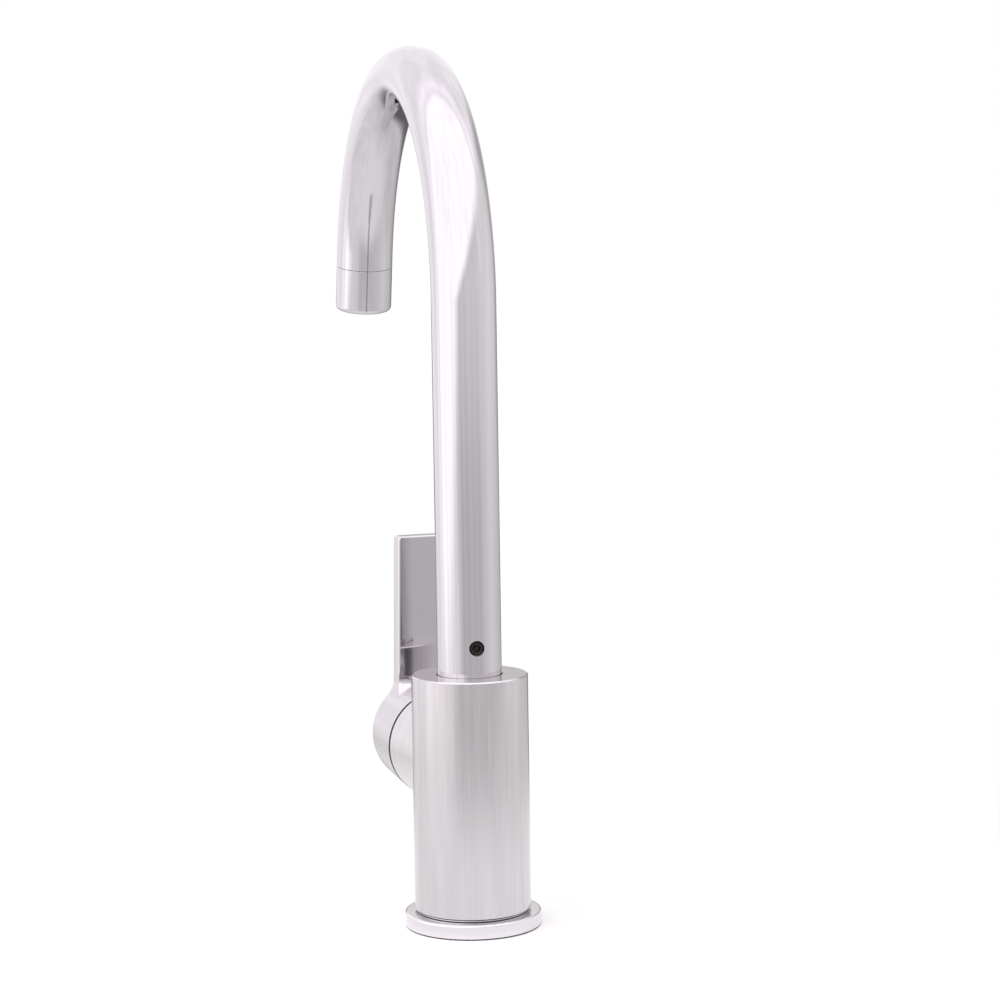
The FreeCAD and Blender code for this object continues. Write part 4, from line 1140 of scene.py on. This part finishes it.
@dataclass(frozen=True)
class Panel:
    """A soft panel in the tent.

    Its edges are bearings from the camera's in degrees, and its light is what it adds high up, low
    down and at the table.
    """

    start: float
    end: float
    soft: float
    light: tuple[float, float, float]


@dataclass(frozen=True)
class Studio:
    """Pale table, a tent of pale cloth with three soft panels, and a soft lamp."""

    bearing: float = math.atan2(0.9479, 0.2372)
    tint: tuple[float, float, float] = (1.0, 0.985, 0.99)
    cloth: tuple[float, float, float] = (0.88, 0.68, 0.73)
    panels: tuple[Panel, ...] = (
        Panel(-148.0, -31.0, 16.0, (0.58, 0.45, 0.25)),
        Panel(62.0, 122.0, 22.0, (0.15, 0.24, 0.12)),
        Panel(136.0, 164.0, 10.0, (-0.34, 0.0, 0.05)),
    )
    reach: float = 1.3
    high_cloth: tuple[float, float] = (0.0, 0.24)
    table_cloth: tuple[float, float] = (-0.09, -0.2)
    edge_wander: float = 11.0
    fold_depth: float = 0.4
    far_shade: float = 0.8
    far_wall: tuple[float, float] = (-0.87, -0.97)
    far_top: tuple[float, float] = (0.2, 0.36)
    roof: float = 1.64
    roof_far: float = 1.18
    roof_tint: tuple[float, float, float] = (1.0, 0.973, 1.003)
    roof_slope: float = 0.46
    roof_level_from: float = 0.7
    roof_edge: tuple[float, float] = (0.28, 0.48)
    roof_change: tuple[float, float] = (-0.42, -0.12)
    seam_shade: float = 0.3
    seam_place: float = -0.17
    seam_width: float = 0.05
    table: float = 0.10
    table_edge: float = 0.40
    contact: tuple[float, float] = (0.024, 0.042)
    plain: float = 0.84
    room: float = 0.85
    lamp_bearing: float = math.radians(-75.0)
    lamp_away: float = 1.6
    lamp_height: float = 1.5
    lamp_size: float = 0.9
    lamp_power: float = 9.0
    lamp_aim: float = 0.15

    def seen(self, shader: Shader) -> Signal:
        """1 for the rays that see a thing: from the camera, or by reflection or through glass."""
        path = shader.node("ShaderNodeLightPath")
        straight = shader.signal(path, "Is Camera Ray")
        mirrored = shader.signal(path, "Is Glossy Ray")
        through = shader.signal(path, "Is Transmission Ray")
        return (straight + mirrored + through).maths("MINIMUM", 1.0)

    def blend(self, shader: Shader, factor: Signal, first: object, second: object) -> object:
        """Mixes two shaders.

        Args:
            shader: The tree under construction.
            factor: 0 for the first, 1 for the second.
            first: A shader socket.
            second: A shader socket.

        Returns:
            The mixed shader's socket.
        """
        both = shader.node("ShaderNodeMixShader")
        for place, socket in zip(both.inputs, (factor.socket, first, second)):
            shader.tree.links.new(socket, place)
        return both.outputs[0]

    def weighted(self, shares: tuple[Signal, ...], values: tuple[float, ...]) -> Signal:
        """The sum of the values, each by its share."""
        parts = [share * value for share, value in zip(shares, values)]
        return sum(parts[1:], parts[0])

    def hung(self, turn: Signal, heights: tuple[Signal, ...]) -> Signal:
        """The cloth's brightness, with each panel's light added where it hangs.

        Args:
            turn: Bearing from the camera's, in degrees.
            heights: Shares of the three heights.

        Returns:
            The brightness.
        """
        level = self.weighted(heights, self.cloth)
        for panel in self.panels:
            there = turn.step(panel.start - panel.soft, panel.start + panel.soft)
            there = there * (1.0 - turn.step(panel.end - panel.soft, panel.end + panel.soft))
            level = level + there * self.weighted(heights, panel.light)
        return level

    def cover(self, thing: bpy.types.Object, name: str) -> Shader:
        """Gives a piece of the studio a new, empty material."""
        made = bpy.data.materials.new(name)
        made.use_nodes = True
        thing.data.materials.append(made)
        return Shader(made.node_tree)

    def sky(self) -> None:
        """The room beyond the tent: white where it is seen, and plain light elsewhere."""
        world = bpy.data.worlds.new("room")
        bpy.context.scene.world = world
        world.use_nodes = True
        shader = Shader(world.node_tree)
        light = shader.node("ShaderNodeBackground", Color=(*self.tint, 1.0), Strength=self.room)
        white = shader.node("ShaderNodeBackground", Color=(1.0, 1.0, 1.0, 1.0), Strength=1.0)
        light_out, white_out = light.outputs["Background"], white.outputs["Background"]
        shown = self.blend(shader, self.seen(shader), light_out, white_out)
        shader.node("ShaderNodeOutputWorld", Surface=shown)

    def tent(self) -> None:
        """The round tent, brighter and darker by turns, which only light and reflections meet."""
        bpy.ops.object.select_all(action="DESELECT")
        bpy.ops.mesh.primitive_uv_sphere_add(segments=96, ring_count=48, radius=self.reach)
        bpy.ops.object.shade_smooth()
        wall = bpy.context.object
        wall.name = wall.data.name = "tent_wall"
        shader = self.cover(wall, "tent_cloth")
        split = shader.node("ShaderNodeSeparateXYZ", Vector=shader.place())
        x, y = (shader.signal(split, axis) for axis in "XY")
        toward = x * math.cos(self.bearing) + y * math.sin(self.bearing)
        right = y * math.cos(self.bearing) - x * math.sin(self.bearing)
        wander = shader.noise(3.0, 2.0, shader.stretched((0.2, 0.2, 1.0)))
        turn = right.maths("ARCTAN2", toward) * math.degrees(1.0) + self.edge_wander * (wander - 0.5)
        height = shader.signal(split, "Z")
        high, table = height.step(*self.high_cloth), height.step(*self.table_cloth)
        heights = (high, (1.0 - high) * (1.0 - table), table)
        forward, across = toward / self.reach, right / self.reach
        dark = forward.step(*self.far_wall) * (1.0 - height.step(*self.far_top))
        walls = self.hung(turn, heights) * (1.0 - self.far_shade * dark)
        slope = height / self.reach - self.roof_slope * across.maths("MINIMUM", self.roof_level_from)
        over = slope.step(*self.roof_edge)
        ahead = forward.step(*self.roof_change)
        seam = self.seam_shade * forward.hump(self.seam_place, self.seam_width)
        roof = self.roof_far * (1.0 - ahead) + self.roof * ahead - seam
        folds = shader.noise(5.0, 3.0, shader.stretched((1.0, 1.0, 0.08)))
        level = (walls * (1.0 - over) + over * roof) * (1.0 + self.fold_depth * (folds - 0.5))
        lit = shader.node("ShaderNodeVectorMath", {"operation": "SCALE"}, Scale=level)
        shader.tree.links.new(shader.mix(over, self.tint, self.roof_tint), lit.inputs[0])
        glow = shader.node("ShaderNodeEmission", Color=lit.outputs["Vector"], Strength=1.0)
        shader.node("ShaderNodeOutputMaterial", Surface=glow.outputs["Emission"])
        wall.visible_camera = False
        wall.visible_shadow = False

    def floor(self) -> None:
        """A pale round table that keeps the faucet's shadow and fades out at its edge."""
        bpy.ops.object.select_all(action="DESELECT")
        bpy.ops.mesh.primitive_circle_add(
            vertices=128, radius=self.table_edge, fill_type="NGON", location=(0.0, 0.0, -0.0002)
        )
        floor = bpy.context.object
        floor.name = floor.data.name = "studio_floor"
        bpy.ops.object.transform_apply(location=True)
        shader = self.cover(floor, "studio_floor")
        paper = shader.node("ShaderNodeBsdfDiffuse", Color=(0.9, 0.89, 0.9, 1.0))
        white = shader.node("ShaderNodeEmission", Color=(1.0, 1.0, 1.0, 1.0), Strength=1.0)
        clear = shader.node("ShaderNodeBsdfTransparent")
        far = shader.node("ShaderNodeVectorMath", {"operation": "LENGTH"})
        shader.tree.links.new(shader.place(), far.inputs[0])
        away = shader.signal(far, "Value")
        factor = self.seen(shader) * self.plain * away.step(*self.contact)
        top = self.blend(shader, factor, paper.outputs["BSDF"], white.outputs["Emission"])
        below = shader.signal(shader.node("ShaderNodeNewGeometry"), "Backfacing")
        edge = away.step(self.table, self.table_edge - 0.01).maths("MAXIMUM", below)
        shown = self.blend(shader, edge, top, clear.outputs["BSDF"])
        shader.node("ShaderNodeOutputMaterial", Surface=shown)

    def lamp(self) -> None:
        """A soft square lamp aimed at the faucet's middle."""
        bearing = self.bearing + self.lamp_bearing
        data = bpy.data.lights.new("key_lamp", "AREA")
        data.shape, data.size, data.energy = "SQUARE", self.lamp_size, self.lamp_power
        lamp = bpy.data.objects.new("key_lamp", data)
        across, ahead = math.cos(bearing) * self.lamp_away, math.sin(bearing) * self.lamp_away
        lamp.location = (across, ahead, self.lamp_height)
        aim = Vector((0.0, 0.0, self.lamp_aim)) - lamp.location
        lamp.rotation_euler = aim.to_track_quat("-Z", "Y").to_euler()
        lamp.visible_camera = False
        lamp.visible_glossy = False
        bpy.context.scene.collection.objects.link(lamp)

    def build(self) -> None:
        """Builds the studio."""
        bpy.context.scene.view_settings.view_transform = "Standard"
        self.sky()
        self.tent()
        self.floor()
        self.lamp()


def main() -> None:
    """Builds the scene, piece by piece."""
    logging.basicConfig(level=logging.INFO, format="%(message)s")
    PhotoCamera().build()
    for part in (Foot(), Barrel(), SwanNeck(), SideLever()):
        part.build()
    Studio().build()


if __name__ == "__main__":
    main()
